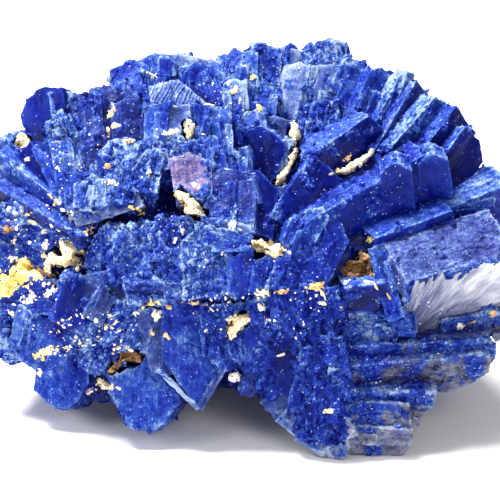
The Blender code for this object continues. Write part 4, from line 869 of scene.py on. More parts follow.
def ridges(p):
    """The silvery face's relief and its sheen, a painted reflection that is brighter to the right and higher
    up, and each point's place along its fan of ridges.
    """
    place = to_display(p)
    across, up = place[:, 0] - FAN[0], place[:, 1] - FAN[1]
    reach = np.hypot(across, up)
    fan = np.stack((np.arctan2(up, across) * 10.0, reach * 0.0, reach), 1) * MM
    rib = noise(fan * (1.0, 1.0, 0.10), 0.55 * MM, 420) + 0.7 * noise(fan * (1.0, 1.0, 0.2), 1.7 * MM, 425)
    bright = np.clip((place[:, 0] - 25.0) / 14.0, 0, 1)
    sheen = np.clip(0.30 + 0.26 * bright + 0.03 * (up - 5.0) + 0.10 * rib, 0.03, 1)
    return 0.13 * MM * rib + 0.06 * MM * noise(p, 1.0 * MM, 430), sheen, fan


def height_shade(points):
    """Painted shade, darker in the gaps between proud crystals, and a painted highlight, lighter on crests."""
    place = to_display(points)
    column = np.floor((place[:, 0] + HALF_MAP) / CELL).astype(int)
    row = np.floor((place[:, 1] + HALF_MAP) / CELL).astype(int)
    count = int(2.0 * HALF_MAP / CELL) + 1
    top = np.full((count, count), -30.0)
    np.maximum.at(top, (column, row), place[:, 2])
    mean = np.zeros_like(top)
    for around in np.ndindex(5, 5):
        mean += np.roll(top, (around[0] - 2, around[1] - 2), (0, 1)) / 25.0
    above = place[:, 2] - mean[column, row]
    front = np.clip((place[:, 2] + 6.0) / 4.0, 0, 1)
    gap = np.clip((-above - 0.4) / 2.6, 0, 1)
    crest = np.clip((above - 0.4) / 2.0, 0, 1)
    return front * (GAP_SHADE * gap + CREST_SHADE * crest)


def dress(points, tris, flat, normal, axes, look, salt, silver_reflection, stack, seat, rims):
    """Relief and look values of a mesh whose triangles belong to flat crystal faces."""
    count = len(normal)
    pair = np.unique(tris * count + flat[:, None])
    vert, face = pair // count, pair % count
    p = points[vert]
    q = np.einsum("nij,nj->ni", axes[face], p) + (salt[face] * 50 * MM)[:, None]
    end = np.abs(np.einsum("nij,nj->ni", axes[face], normal[face])[:, 2])
    crust = crusted(p, axes[face], seat[face], look[face, 5])
    crust = np.where(silver_reflection[face], toothed(p, axes[face], seat[face]), crust)
    rows = look[face, :5] * (1 - crust)[:, None] + np.array(CRUST_LOOK) * crust[:, None]
    grain, step = rows[:, 1], rows[:, 3]
    stacked = stack[face] > 0
    edges = plates(p, axes[face], seat[face], stack[face])
    rows[:, 0] += np.where(stacked, STACK_TONE * (edges - 0.5), 0.0)
    bundles = mosaic(q / (np.array(BUNDLE) * MM), 100, 0.5)
    blocks = mosaic(q / (np.array(BLOCK) * MM), 200, 0.9)
    crumbs = mosaic(p / (CRUMB * MM), 300, 1.0)
    relief = step * MM * (bundles * (0.45 + 1.2 * end) + blocks * (0.20 + 0.9 * grain))
    relief += 0.17 * MM * grain ** 2 * crumbs + 0.16 * MM * crust
    relief += 0.12 * MM * noise(p, 2.4 * MM, 400) + 0.22 * MM * grain * noise(p, 3.4 * MM, 410)
    relief = np.where(stacked, 0.35 * relief + STACK_RELIEF * edges, relief)
    ribs = silver_reflection[face] & (crust < 0.5)
    rib_relief, rib_sheen, fan = ridges(p)
    relief = np.where(ribs, rib_relief, relief)
    q = np.where(ribs[:, None], fan, q)
    rim = rim_distance(points, rims, 2.0 * MM)[vert]
    chip = np.clip(noise(p, 1.1 * MM, 500) - 0.05, 0, 1) * np.clip(1 - rim / (0.8 * MM), 0, 1)
    relief -= CHIP_DEPTH * chip
    weight = np.bincount(vert, minlength=len(points)).astype(float)

    def spread(values):
        return summed(vert, values.reshape(len(vert), -1), len(points)) / weight[:, None]

    shift = spread(normal[face] * relief[:, None])
    shift[:, 2] *= np.clip((points[:, 2] - 0.05 * MM) / (0.6 * MM), 0, 1)
    tone, grain, lilac_reflection, _, hue = spread(rows).T
    # painted shade in the gaps and painted highlight on the crests
    tone = np.clip(tone + height_shade(points), 0, 1)
    # Painted highlight: nearness to a sharp outer edge, which the material turns into pale rims
    edge = spread(1 - np.clip(rim / (1.1 * MM), 0, 1))[:, 0]
    # Painted reflection: the sheen of the ridged silvery face
    sheen = spread(np.where(ribs, rib_sheen, 0))[:, 0]
    return points + shift, {"tone": tone, "grain": grain, "lilac_reflection": lilac_reflection, "hue": hue,
                            "edge": edge, "silver_reflection": sheen, "grow": spread(q)}


def skin_shell(bodies):
    """The cluster's own skin, with each flat face matched to its crystal."""
    points, tris, flat, normals, rims = union_mesh()
    normal, middle = flat_faces(points, tris, flat, normals)
    owner = owners_of(normal, middle, bodies)
    rng = np.random.default_rng(5)
    count = len(normal)
    axes = np.zeros((count, 3, 3))
    look = np.zeros((count, 6))
    seat = np.ones((count, 5))
    salt = np.zeros(count)
    silver_reflection = np.zeros(count, bool)
    stack = np.zeros(count, int)
    for index in range(count):
        if owner[index] >= 0:
            body = bodies[owner[index]]
            finish = body["finish"]
            axes[index] = body["axes"]
            salt[index] = owner[index] * 0.37
            broad = normal[index] @ body["axes"][1] > BROAD
            silver_reflection[index] = finish == "silver_reflection" and broad
            if broad and body["name"] in STACKS:
                stack[index] = STACK_NAMES.index(body["name"]) + 1
            seat[index] = (*body["root"], body["width"], (body["tip"] - body["root"]).length)
        else:
            finish = "rear"
            away = Vector(middle[index]) - CORE
            axes[index] = np.array(crystal_frame(Vector((0, 0, 0)), away, Vector((0.0, 0.1, 1.0))))
        look[index] = face_look(finish, normal[index], axes[index], rng)
        if finish == "rear":
            look[index, 0] += rng.uniform(-0.16, 0.14)
            look[index, 1] += rng.uniform(-0.35, 0.20)
            seat[index] = (*middle[index], 6 * MM, 6 * MM)
    look[:, :4] = np.clip(look[:, :4], 0, 1)
    return {"points": points, "tris": tris, "flat": flat, "normal": normal, "axes": axes,
            "look": look, "salt": salt, "silver_reflection": silver_reflection, "stack": stack, "seat": seat, "rims": rims}


def body_shell(bm, axes, finish, rng):
    """A loose crystal as a shell of flat faces."""
    bmesh.ops.recalc_face_normals(bm, faces=bm.faces)
    bm.verts.index_update()
    points = np.array([v.co[:] for v in bm.verts])
    tris, flat, normal, look = [], [], [], []
    shade = rng.uniform(-0.10, 0.12)
    for number, part in enumerate(bm.faces):
        ids = [v.index for v in part.verts]
        tris += [(ids[0], ids[k], ids[k + 1]) for k in range(1, len(ids) - 1)]
        flat += [number] * (len(ids) - 2)
        normal.append(part.normal[:])
        row = list(face_look(finish, np.array(part.normal), axes, rng))
        row[0] += shade
        look.append(row)
    rims = sharp_edges(bm)
    bm.free()
    count = len(normal)
    look = np.array(look)
    look[:, :4] = np.clip(look[:, :4], 0, 1)
    look[:, 5] = 0.0
    return {"points": points, "tris": np.array(tris), "flat": np.array(flat), "normal": np.array(normal),
            "axes": np.repeat(axes[None], count, 0), "look": look, "salt": np.full(count, rng.uniform(0, 9)),
            "silver_reflection": np.zeros(count, bool), "stack": np.zeros(count, int), "seat": np.ones((count, 5)),
            "rims": rims}


def loose_crystal(start, end, facing, width, thickness, shoulders, finish, rng):
    bm = crystal_body(start, end, facing, width, thickness, shoulders, rng.uniform(0.8, 1.0))
    return body_shell(bm, np.array(crystal_frame(start, end, facing)), finish, rng)


def join_shells(shells):
    """Several shells as one, their points and faces renumbered."""
    joined = {key: [] for key in shells[0]}
    start_point = start_face = 0
    for shell in shells:
        for key, value in shell.items():
            if key == "tris":
                value = value + start_point
            if key == "flat":
                value = value + start_face
            joined[key] += [value] if key != "rims" else value
        start_point += len(shell["points"])
        start_face += len(shell["normal"])
    return {key: value if key == "rims" else np.concatenate(value) for key, value in joined.items()}


def satellites(bodies):
    """Smaller crystals in parallel growth on each front crystal, their roots sunk into it."""
    rng = random.Random(11)
    shells = []
    for body in bodies:
        side, front, axis = (Vector(row) for row in body["axes"])
        root, width, finish = body["root"], body["width"], body["finish"]
        length = (body["tip"] - root).length
        number = 0 if body["name"] in BARE else SATELLITES.get(finish, 0)
        for _ in range(number):
            across = rng.uniform(-0.5, 0.5) * width
            rise = rng.uniform(0.0, 0.9) * MM
            share = rng.uniform(0.6, 1.0)
            grow = rng.uniform(3.0, 6.5) * MM
            lean = side * rng.uniform(-0.30, 0.30) + front * rng.uniform(0.05, 0.22)
            way = (axis + lean).normalized()
            end = root + axis * (length * share) + side * across + front * rise
            start = end - way * min(grow, length * 0.8)
            facing = (front + side * rng.uniform(-0.3, 0.3)).normalized()
            wide = width * rng.uniform(0.22, 0.48)
            thick = rng.uniform(1.4, 3.0) * MM
            shoulders = (rng.uniform(0.3, 3.2) * MM, rng.uniform(0.3, 2.0) * MM)
            shells.append(loose_crystal(start, end, facing, wide, thick, shoulders, finish, rng))
    return shells


def scatter(rng, reach):
    """A random offset of up to reach along each axis."""
    return Vector([rng.uniform(-reach, reach) for _ in range(3)])


def rear_plates(shell):
    """Tabular crystals half sunk into the hidden side, in sheaves that share a direction."""
    rng = random.Random(17)
    tris = shell["tris"]
    cross = triangle_cross(shell["points"], tris)
    area = lengths(cross) / 2.0
    middle = shell["points"][tris].mean(1)
    turned_back = cross @ np.array(OUT) < -0.3 * area
    hidden = (to_display(middle)[:, 2] < HIDDEN_OUT) & (middle[:, 2] > LOWEST_PLATE) & turned_back
    chance = area * hidden
    picked = np.random.default_rng(18).choice(len(tris), REAR_PLATES, p=chance / chance.sum())
    sheaves = []
    for index in picked[:REAR_SHEAVES]:
        seat = Vector(middle[index])
        away = (seat - CORE).normalized()
        face = Vector(cross[index] / np.linalg.norm(cross[index]))
        way = (away * 0.6 + face * 0.4 + scatter(rng, 0.40)).normalized()
        sheaves.append((seat, way, way.cross(scatter(rng, 1.0)).normalized()))
    shells = []
    for index in picked:
        seat = Vector(middle[index])
        _, way, facing = min(sheaves, key=lambda sheaf: (sheaf[0] - seat).length)
        way = (way + scatter(rng, 0.10)).normalized()
        facing = (facing + scatter(rng, 0.12)).normalized()
        end = seat + way * (rng.uniform(0.1, 1.0) * MM)
        start = end - way * (rng.uniform(4.0, 7.0) * MM)
        shoulders = (rng.uniform(0.2, 2.4) * MM, rng.uniform(0.2, 1.4) * MM)
        width, thick = rng.uniform(2.4, 6.5) * MM, rng.uniform(0.8, 2.0) * MM
        shells.append(loose_crystal(start, end, facing.normalized(), width, thick, shoulders, "rear", rng))
    return shells


def loose_limit(middle):
    """Longest mesh edge of the smaller crystals: coarser on the hidden side."""
    return np.where(to_display(middle)[:, 2] > HIDDEN_OUT, LOOSE_FRONT_EDGE, LOOSE_REAR_EDGE)


def above_floor(points, gap):
    """Points with those below the gap raised to it."""
    points[:, 2] = np.maximum(points[:, 2], gap)
    return points


def build_azurite(bodies):
    """The crystals as six pieces; gives their points, their shell and their look values."""
    skin = skin_shell(bodies)
    loose = join_shells(satellites(bodies) + rear_plates(skin))
    for shell, limit in ((skin, skin_limit), (loose, loose_limit)):
        points, tris, flat = refine(shell["points"], shell["tris"], shell["flat"], limit)
        shell.update(points=points, tris=tris, flat=flat)
    whole = join_shells([skin, loose])
    tris = whole["tris"]
    points, values = dress(**whole)
    points = above_floor(points, FLOOR_GAP)
    where = to_display(points[tris].mean(1))
    is_loose = np.arange(len(tris)) >= len(skin["tris"])
    part = np.select([is_loose & (where[:, 0] < 0.0), is_loose, where[:, 2] < HIDDEN_OUT,
                      where[:, 0] < SPLIT_ACROSS, where[:, 1] > SPLIT_UP], [4, 5, 3, 0, 1], 2)
    names = ("azurite_left", "azurite_upper_right", "azurite_lower_right", "azurite_rear",
             "azurite_overgrowth_left", "azurite_overgrowth_right")
    for index, name in enumerate(names):
        piece = make_piece(name, points, tris[part == index], "azurite", values, 26)
        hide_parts("azurite_cluster")
    return points, whole, values


# ---------------------------------------------------------------- druse

def druse(points, whole, values):
    """Tiny tabular crystals over the rough faces."""
    rng = np.random.default_rng(21)
    tris = whole["tris"]
    middle = points[tris].mean(1)
    cross = triangle_cross(points, tris)
    grain = values["grain"][tris].mean(1)
    weight = lengths(cross) / 2.0 * np.clip(grain - 0.42, 0, 1)
    weight = weight * np.where(to_display(middle)[:, 2] > -6, 1.0, 0.25)
    weight *= (middle[:, 2] > 0.8 * MM) * (whole["silver_reflection"][whole["flat"]] == 0)
    picked = rng.choice(len(tris), DRUSE_COUNT, p=weight / weight.sum())
    share = rng.dirichlet((1, 1, 1), DRUSE_COUNT)
    base = np.einsum("nk,nkj->nj", share, points[tris[picked]])
    up = unit(cross[picked])
    host = whole["axes"][whole["flat"][picked]][:, 2]
    axis = unit(0.45 * host + 0.55 * up + rng.normal(0, 0.30, up.shape))
    side = unit(np.cross(axis, rng.normal(0, 1, axis.shape) + 2.0 * up))
    front = np.cross(side, axis)
    width = rng.uniform(0.35, 1.1, DRUSE_COUNT) * MM
    thick = width * rng.uniform(0.35, 0.7, DRUSE_COUNT)
    height = rng.uniform(0.4, 1.1, DRUSE_COUNT) * MM
    size = len(DRUSE_CORNERS)
    x, y, z = (column[None, :, None] for column in np.array(DRUSE_CORNERS).T)
    made = (base[:, None] + x * (side * width[:, None])[:, None] + y * (front * thick[:, None])[:, None]
            + z * (axis * height[:, None])[:, None]).reshape(-1, 3)
    made = above_floor(made, FLOOR_GAP)
    made_tris = np.array(DRUSE_TRIANGLES) + size * np.arange(DRUSE_COUNT)[:, None, None]
    tone = values["tone"][tris[picked]].mean(1) + rng.normal(0, 0.10, DRUSE_COUNT)
    none = np.zeros(len(made))
    looks = {"tone": np.repeat(np.clip(tone, 0, 1), size), "grain": np.full(len(made), 0.45),
             "lilac_reflection": np.repeat(values["lilac_reflection"][tris[picked]].mean(1), size),
             "edge": none, "silver_reflection": none, "hue": none, "grow": made}
    piece = make_piece("azurite_druse", made, made_tris.reshape(-1, 3), "azurite", looks, 20)


# ---------------------------------------------------------------- clay and limonite

def uneven(points, row, salt):
    """Bends a seated lump along its length and makes it wider here and narrower there."""
    name, middle, degrees, length, width, _ = row
    centre = to_display(to_world([middle]))[0]
    angle = math.radians(degrees)
    along = np.array((math.cos(angle), math.sin(angle), 0.0))
    across = np.array((-along[1], along[0], 0.0))
    local = to_display(points) - centre
    a, b = local @ along, local @ across
    toward_end = np.abs(2.0 * a / length) ** 3
    wide = 0.85 + 0.60 * line_noise(a * MM, 1.1 * MM, salt) - 0.40 * toward_end
    wide *= SLIM.get(name, 1.0)
    bend = 0.30 * width * line_noise(a * MM, 1.9 * MM, salt + 1)
    new_b = b * np.clip(wide, 0.26, 1.3) + bend
    drop = 0.5 * toward_end + 0.25 * line_noise(a * MM, 1.3 * MM, salt + 3)
    drop += 2.4 * np.clip(noise(points, 1.5 * MM, salt + 6) - 0.05, 0, 1) * (local[:, 2] > 0)
    for middle_a, middle_b, half_a, half_b in HOLLOWS.get(name, ()):
        inside = 1.0 - ((a - middle_a) / half_a) ** 2 - ((b - middle_b) / half_b) ** 2
        drop += HOLLOW_DEPTH * np.clip(3.0 * inside, 0, 1)
    local = local + np.outer(new_b - b, across)
    local[:, 2] -= drop
    return to_world(local + centre)


def with_crumbs(points, tris, normal, number, salt):
    """Adds small angular crumbs stuck to the side of a lump that looks out."""
    rng = np.random.default_rng(salt)
    outer = np.flatnonzero(normal @ np.array(OUT) > 0.05)
    body, faces = ball(CHIP_LEVEL)
    places, rows = [points], [tris]
    start = len(points)
    for index in rng.choice(outer, number):
        size = rng.uniform(0.25, 0.62) * MM
        shape = body * (1 + rng.uniform(-0.35, 0.35, (len(body), 1))) * rng.uniform(0.6, 1.2, 3) * size
        places.append(points[index] + shape)
        rows.append(faces + start)
        start += len(body)
    return np.vstack(places), np.vstack(rows)


def lump_limit(middle):
    return np.full(len(middle), LUMP_EDGE)


def lump_piece(row, salt):
    """A crumbly lump: the CAD lump made uneven and broken up into small flat chips."""
    name, _, _, length, width, slot = row
    bm = node_mesh(name)
    points, tris, _ = mesh_arrays(bm)
    bm.free()
    points, tris, _ = refine(points, tris, np.zeros(len(tris), int), lump_limit)
    points = uneven(points, row, salt)
    cross = triangle_cross(points, tris)
    normal = unit(summed(tris.ravel(), np.repeat(cross, 3, axis=0), len(points)))
    push = 0.16 * noise(points, 1.4 * MM, salt + 2) + 0.17 * mosaic(points / (0.9 * MM), salt + 4, 1.2)
    points = points + normal * (push * MM)[:, None]
    points, tris = with_crumbs(points, tris, normal, int(CRUMBS_PER_AREA * length * width), salt)
    piece = make_piece(name + "_crumb", points, tris, slot, {}, 35)
    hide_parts(name)


def chips(row, rng):
    """A bit of clay as the lump and the angular chips that it is made of, each with its ball's level."""
    u, v, length, width, degrees, kind = row
    if min(length, width) < WHOLE_FLECK:
        return [(*row, CHIP_LEVEL)]
    angle = math.radians(degrees)
    along, across = (math.cos(angle), math.sin(angle)), (-math.sin(angle), math.cos(angle))
    smooth = kind == "yellow" and length > 3.0
    share, crowd = (0.95, 2.5) if smooth else (0.75, 7.0)
    found = [(u, v, length * share, width * share, degrees, kind, LUMP_LEVEL)]
    for _ in range(4 + int(crowd * length * width)):
        a, b = rng.uniform(-0.5, 0.5) * length, rng.uniform(-0.5, 0.5) * width
        if (2.0 * a / length) ** 2 + (2.0 * b / width) ** 2 > 1.1:
            continue
        size = rng.uniform(0.35, 0.9) * min(1.0, width)
        place = (u + along[0] * a + across[0] * b, v + along[1] * a + across[1] * b)
        found.append((*place, size, size * rng.uniform(0.5, 1.0), rng.uniform(0, 180), kind, CHIP_LEVEL))
    return found


def dust(rng):
    """Loose bits of clay, in nests within each zone."""
    found = []
    for (u, v), (half_u, half_v), number, largest, kinds in DUST:
        nests = []
        for _ in range(2 + number // 8):
            nests.append((u + half_u * rng.uniform(-1, 1), v + half_v * rng.uniform(-1, 1)))
        for _ in range(number):
            size = largest * rng.uniform(0.25, 1.0) ** 1.6
            nest = rng.choice(nests)
            place = [nest[k] + rng.gauss(0, 0.10 * half + 0.25) for k, half in enumerate((half_u, half_v))]
            width = size * rng.uniform(0.4, 0.9)
            found.append((*place, size, width, rng.uniform(0, 180), rng.choice(kinds), CHIP_LEVEL))
    return found


def fleck_shape(body, length, width, deep, level, index, rng):
    """Points of a lump or a chip, along its length, its width and out."""
    scale = np.array((length / 2, width / 2, deep)) * MM
    local = body * scale
    if level == CHIP_LEVEL:
        return local * (1 + 0.35 * np.array([[rng.uniform(-1, 1)] for _ in range(len(body))]))
    apart = index * 0.01
    lump = noise(local + apart, 0.9 * MM, 900) * 0.45 + noise(local + apart, 0.4 * MM, 901) * 0.25
    local = body * (scale + (lump * min(width, 1.2) * MM)[:, None] * 0.6)
    local[:, :2] += body[:, :2] * (mosaic((local + apart) / (0.8 * MM), 905, 0.6) * 0.18 * MM)[:, None]
    return local


def flecks(points, tris):
    """Clay bits laid on whatever the front view shows at each place."""
    front = to_display(points[tris].mean(1))[:, 2] > -12.0
    tree = BVHTree.FromPolygons(points.tolist(), tris[front].tolist())
    rng = random.Random(31)
    rows = [bit for row in FLECKS for bit in chips(row, rng)] + dust(rng)
    balls = {level: ball(level) for level in (CHIP_LEVEL, LUMP_LEVEL)}
    heaps = {}
    for index, (u, v, length, width, degrees, kind, level) in enumerate(rows):
        hit, normal, _, _ = tree.ray_cast(world_point((u, v, FAR_OUT)), -OUT)
        if hit is None:
            continue
        normal = (normal + OUT * 0.6).normalized()
        angle = math.radians(degrees)
        along = world_direction((math.cos(angle), math.sin(angle), 0.0))
        along = (along - normal * along.dot(normal)).normalized()
        turn = np.array((along, normal.cross(along), normal))
        body, faces = balls[level]
        deep = min(length, width) * (0.5 if level == LUMP_LEVEL else 0.35)
        shape = fleck_shape(body, length, width, deep, level, index, rng)
        placed = shape @ turn + np.array(hit) - np.array(normal) * (deep * 0.25 * MM)
        heap = heaps.setdefault(FLECK_KINDS[kind], [[], [], 0])
        heap[0].append(above_floor(placed, 0.05 * MM))
        heap[1].append(faces + heap[2])
        heap[2] += len(placed)
    for (material, slot), (places, faces, _) in sorted(heaps.items()):
        piece = make_piece("flecks_" + material, np.vstack(places), np.vstack(faces), material, {}, 40)


# ---------------------------------------------------------------- materials

# Colours of azurite, from its darkest tone at 0 to its palest at 1: place, colour
BLUE = (
    (0.0, (0.0004, 0.0014, 0.050)), (0.22, (0.0012, 0.0042, 0.120)), (0.45, (0.0052, 0.0138, 0.212)),
    (0.62, (0.0125, 0.040, 0.280)), (0.80, (0.046, 0.102, 0.326)), (1.0, (0.22, 0.30, 0.46)),
)
# Colours of the painted reflection on grey faces, lavender, neutral and pink, from darkest at 0 to palest at
# 1: place, colour
GREY = (
    (0.0, (0.004, 0.005, 0.014)), (0.35, (0.010, 0.014, 0.050)), (0.60, (0.036, 0.055, 0.160)),
    (0.80, (0.105, 0.140, 0.310)), (1.0, (0.29, 0.350, 0.54)),
)
STONE = (
    (0.0, (0.008, 0.008, 0.014)), (0.35, (0.032, 0.033, 0.048)), (0.60, (0.105, 0.106, 0.135)),
    (0.80, (0.185, 0.187, 0.225)), (1.0, (0.34, 0.345, 0.40)),
)
PINK = (
    (0.0, (0.006, 0.004, 0.016)), (0.35, (0.022, 0.015, 0.052)), (0.60, (0.085, 0.060, 0.150)),
    (0.80, (0.200, 0.155, 0.270)), (1.0, (0.42, 0.36, 0.48)),
)
# Colours of the painted silvery reflection, from its dimmest sheen at 0 to its brightest at 1: place, colour
SILVER_REFLECTION = (
    (0.0, (0.020, 0.024, 0.09)), (0.35, (0.10, 0.11, 0.20)), (0.62, (0.30, 0.31, 0.38)),
    (1.0, (0.74, 0.75, 0.80)),
)
SPARK_BLUE, DUST_BLUE, DEEP_BLUE = (0.40, 0.56, 0.86), (0.55, 0.60, 0.86), (0.010, 0.030, 0.40)
# Colours of each kind of clay: light, middle, dark and stain
CLAYS = {
    "cream_clay": ((0.86, 0.78, 0.57), (0.78, 0.64, 0.38), (0.36, 0.20, 0.08), (0.48, 0.28, 0.10)),
    "white_clay": ((0.96, 0.93, 0.84), (0.90, 0.84, 0.68), (0.62, 0.50, 0.34), (0.50, 0.36, 0.22)),
    "yellow_clay": ((0.94, 0.80, 0.36), (0.84, 0.62, 0.16), (0.45, 0.26, 0.06), (0.50, 0.26, 0.05)),
    "ochre_clay": ((0.86, 0.62, 0.28), (0.62, 0.34, 0.10), (0.22, 0.10, 0.03), (0.12, 0.05, 0.02)),
    "limonite": ((0.46, 0.27, 0.10), (0.15, 0.066, 0.020), (0.035, 0.015, 0.007), (0.04, 0.02, 0.01)),
}


class Nodes:
    """Short helpers for wiring a material."""

    def __init__(self, name):
        self.mat = bpy.data.materials.new(name)
        self.mat.use_nodes = True
        self.tree = self.mat.node_tree
        self.shader = self.tree.nodes["Principled BSDF"]

    def add(self, kind, inputs=None, **settings):
        node = self.tree.nodes.new(kind)
        for key, value in settings.items():
            setattr(node, key, value)
        for key, value in (inputs or {}).items():
            self.put(node.inputs[key], value)
        return node

    def put(self, socket, value):
        if isinstance(value, bpy.types.NodeSocket):
            self.tree.links.new(value, socket)
        else:
            socket.default_value = value

    def maths(self, kind, *values, clamp=False):
        node = self.add("ShaderNodeMath", operation=kind, use_clamp=clamp)
        for socket, value in zip(node.inputs, values):
            self.put(socket, value)
        return node.outputs[0]

    def times(self, one, two):
        return self.maths("MULTIPLY", one, two)

    def plus(self, one, two):
        return self.maths("ADD", one, two)

    def centred(self, value):
        return self.maths("SUBTRACT", value, 0.5)

    def scaled(self, value, factor, start, clamp=False):
        return self.maths("MULTIPLY_ADD", value, factor, start, clamp=clamp)

    def value(self, name):
        return self.add("ShaderNodeAttribute", attribute_name=name).outputs["Fac"]

    def place(self):
        return self.add("ShaderNodeTexCoord").outputs["Object"]

    def noise(self, scale, detail=2.0, rough=0.5, place=None):
        inputs = {"Vector": place or self.place(), "Scale": scale, "Detail": detail, "Roughness": rough}
        return self.add("ShaderNodeTexNoise", inputs).outputs["Fac"]

    def cells(self, scale):
        """Distance from the nearest seed, and a random colour for each cell as three numbers."""
        node = self.add("ShaderNodeTexVoronoi", {"Vector": self.place(), "Scale": scale}, feature="F1")
        parts = self.add("ShaderNodeSeparateColor", {"Color": node.outputs["Color"]})
        return node.outputs["Distance"], parts.outputs

    def ramp(self, factor, stops):
        node = self.add("ShaderNodeValToRGB", {"Fac": factor})
        points = node.color_ramp.elements
        while len(points) < len(stops):
            points.new(1.0)
        for point, (place, colour) in zip(points, stops):
            point.position = place
            point.color = (*colour, 1.0)
        return node.outputs["Color"]

    def mix(self, factor, one, two):
        node = self.add("ShaderNodeMix", data_type="RGBA")
        self.put(node.inputs[0], factor)
        for socket, value in ((node.inputs[6], one), (node.inputs[7], two)):
            self.put(socket, (*value, 1.0) if isinstance(value, tuple) else value)
        return node.outputs[2]

    def finish(self, colour, roughness, height, strength, distance):
        """Sets the shader's colour and roughness, and its bump from a height."""
        self.put(self.shader.inputs["Base Color"], colour)
        self.put(self.shader.inputs["Roughness"], roughness)
        relief = self.add("ShaderNodeBump", {"Height": height, "Strength": strength, "Distance": distance})
        self.put(self.shader.inputs["Normal"], relief.outputs["Normal"])
        return self.mat


def azurite_material():
    n = Nodes("azurite")
    keys = ("tone", "grain", "lilac_reflection", "edge", "silver_reflection", "hue")
    tone, grain, lilac_reflection, edge, silver_reflection, hue = (n.value(key) for key in keys)
    grow = n.add("ShaderNodeAttribute", attribute_name="grow").outputs["Vector"]
    stretch = n.add("ShaderNodeVectorMath", {0: grow, 1: (1.0, 1.0, 0.13)}, operation="MULTIPLY")
    streak = n.noise(2000.0, 3.0, 0.6, stretch.outputs[0])
    fine = n.noise(3600.0, 2.0, 0.6)
    middle = n.noise(1100.0, 3.0, 0.6)
    broad = n.noise(240.0)
    _, grains = n.cells(2400.0)
    mottle = 0.0
    for source, weight in (
        (fine, n.scaled(grain, 0.75, 0.10)),
        (streak, n.scaled(grain, 0.60, 0.20)),
        (middle, n.scaled(grain, 0.85, 0.15)),
        (broad, 0.75),
        (grains[0], n.times(grain, 0.24)),
    ):
        mottle = n.plus(mottle, n.times(n.centred(source), weight))
    # Painted highlight: pale rims along the sharp outer edges
    rim = n.times(n.times(edge, edge), 0.26)
    total = n.maths("ADD", n.plus(tone, mottle), rim, clamp=True)
    # The grey share mixes a painted reflection of the pale surroundings into the blue: lavender, neutral or
    # pink by hue
    grey = n.mix(n.maths("MULTIPLY", hue, 1.0, clamp=True), n.ramp(total, GREY), n.ramp(total, PINK))
    grey = n.mix(n.maths("MULTIPLY", hue, -1.0, clamp=True), grey, n.ramp(total, STONE))
    reflection_share = n.maths("MULTIPLY", lilac_reflection, n.scaled(middle, 1.2, 0.35), clamp=True)
    colour = n.mix(reflection_share, n.ramp(total, BLUE), grey)
    # Painted reflection: on the ridged face a streaked silvery sheen replaces the colour
    sheen = n.scaled(n.centred(streak), 0.95, silver_reflection)
    sheen = n.scaled(n.centred(fine), 0.25, sheen, clamp=True)
    colour = n.mix(n.maths("GREATER_THAN", silver_reflection, 0.02), colour, n.ramp(sheen, SILVER_REFLECTION))
    # Painted glints: scattered pale-blue sparkle spots, more of them on the rough faces
    _, glints = n.cells(5200.0)
    spark = n.maths("GREATER_THAN", glints[1], 0.989)
    colour = n.mix(n.times(n.scaled(grain, 0.6, 0.1), spark), colour, SPARK_BLUE)
    specks = n.maths("LESS_THAN", n.cells(1500.0)[0], 0.085)
    chance = n.maths("GREATER_THAN", n.noise(420.0, 1.0), 0.68)
    colour = n.mix(n.times(n.times(specks, chance), 0.5), colour, DUST_BLUE)
    n.shader.inputs["IOR"].default_value = 1.36
    n.shader.inputs["Specular IOR Level"].default_value = 0.26
    n.shader.inputs["Specular Tint"].default_value = (0.50, 0.64, 1.0, 1.0)
    height = n.plus(n.times(fine, 0.4), n.times(streak, 0.7))
    height = n.plus(height, n.times(n.cells(2100.0)[0], 0.25))
    height = n.plus(height, middle)
    return n.finish(colour, n.scaled(grain, 0.28, 0.23), height, n.scaled(grain, 0.75, 0.12), 0.00022)


def clay_material(name):
    n = Nodes(name)
    light, middle, dark, stain = CLAYS[name]
    broad = n.noise(420.0, 4.0, 0.6)
    fine = n.noise(2600.0, 3.0, 0.6)
    mixed = n.plus(n.times(broad, 0.65), n.times(fine, 0.35))
    colour = n.ramp(mixed, ((0.34, dark), (0.47, middle), (0.60, light)))
    inside = n.maths("LESS_THAN", n.cells(900.0)[0], 0.30)
    spots = n.times(inside, n.maths("GREATER_THAN", n.noise(650.0), 0.55))
    colour = n.mix(n.times(spots, 0.75), colour, stain)
    colour = n.mix(n.maths("LESS_THAN", n.noise(1500.0), 0.34), colour, DEEP_BLUE)
    return n.finish(colour, n.scaled(fine, 0.2, 0.72), n.plus(broad, n.times(fine, 0.7)), 0.8, 0.0003)


# ---------------------------------------------------------------- studio

def aim(obj, place, target):
    obj.location = place
    obj.rotation_mode = "QUATERNION"
    obj.rotation_quaternion = (Vector(target) - Vector(place)).to_track_quat("-Z", "Y")


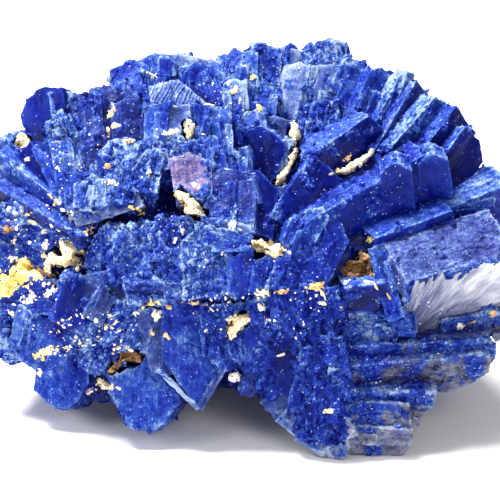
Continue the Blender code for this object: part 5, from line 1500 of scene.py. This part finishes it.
def camera():
    """Looks straight at the middle of the display plane."""
    data = bpy.data.cameras.new("camera")
    data.sensor_width = 36.0
    data.lens = 405.0
    data.clip_start = 0.05
    data.clip_end = 20.0
    obj = bpy.data.objects.new("camera", data)
    bpy.context.scene.collection.objects.link(obj)
    target = world_point((0, 0, 0))
    back = Vector((0.0, -math.cos(LEAN), math.sin(LEAN)))
    aim(obj, target + back * 0.9, target)
    bpy.context.scene.camera = obj


def light(name, place, target, size, power, colour=(1.0, 1.0, 1.0)):
    data = bpy.data.lights.new(name, "AREA")
    data.shape = "DISK"
    data.size = size
    data.energy = power
    data.color = colour
    obj = bpy.data.objects.new(name, data)
    bpy.context.scene.collection.objects.link(obj)
    aim(obj, place, target)


def studio():
    camera()
    middle = (0.0, 0.0, 0.03)
    light("key", (-0.16, 0.10, 0.58), middle, 0.30, 11.8, (1.0, 0.99, 0.97))
    light("fill", (0.25, -0.55, 0.40), middle, 0.36, 1.6)
    light("left", (-0.50, -0.25, 0.30), middle, 0.30, 1.3)
    light("low", (0.0, -0.62, 0.09), (0.0, 0.0, 0.01), 0.30, 0.55)
    bpy.ops.mesh.primitive_plane_add(size=6.0, location=(0.0, 0.0, -0.0002))
    floor = bpy.context.object
    floor.name = "floor"
    n = Nodes("floor")
    n.shader.inputs["Base Color"].default_value = (0.93, 0.93, 0.93, 1.0)
    n.shader.inputs["Roughness"].default_value = 0.9
    floor.data.materials.append(n.mat)
    world = bpy.data.worlds.new("studio")
    bpy.context.scene.world = world
    world.use_nodes = True
    ground = world.node_tree.nodes["Background"]
    ground.inputs["Color"].default_value = (1.0, 1.0, 1.0, 1.0)
    ground.inputs["Strength"].default_value = 0.36
    bpy.context.scene.view_settings.view_transform = "Standard"


MATERIALS = {"azurite": azurite_material(), **{name: clay_material(name) for name in CLAYS}}
studio()
bodies = front_bodies()
points, whole, values = build_azurite(bodies)
druse(points, whole, values)
for index, row in enumerate(LUMPS):
    lump_piece(row, 700 + 10 * index)
flecks(points, whole["tris"])
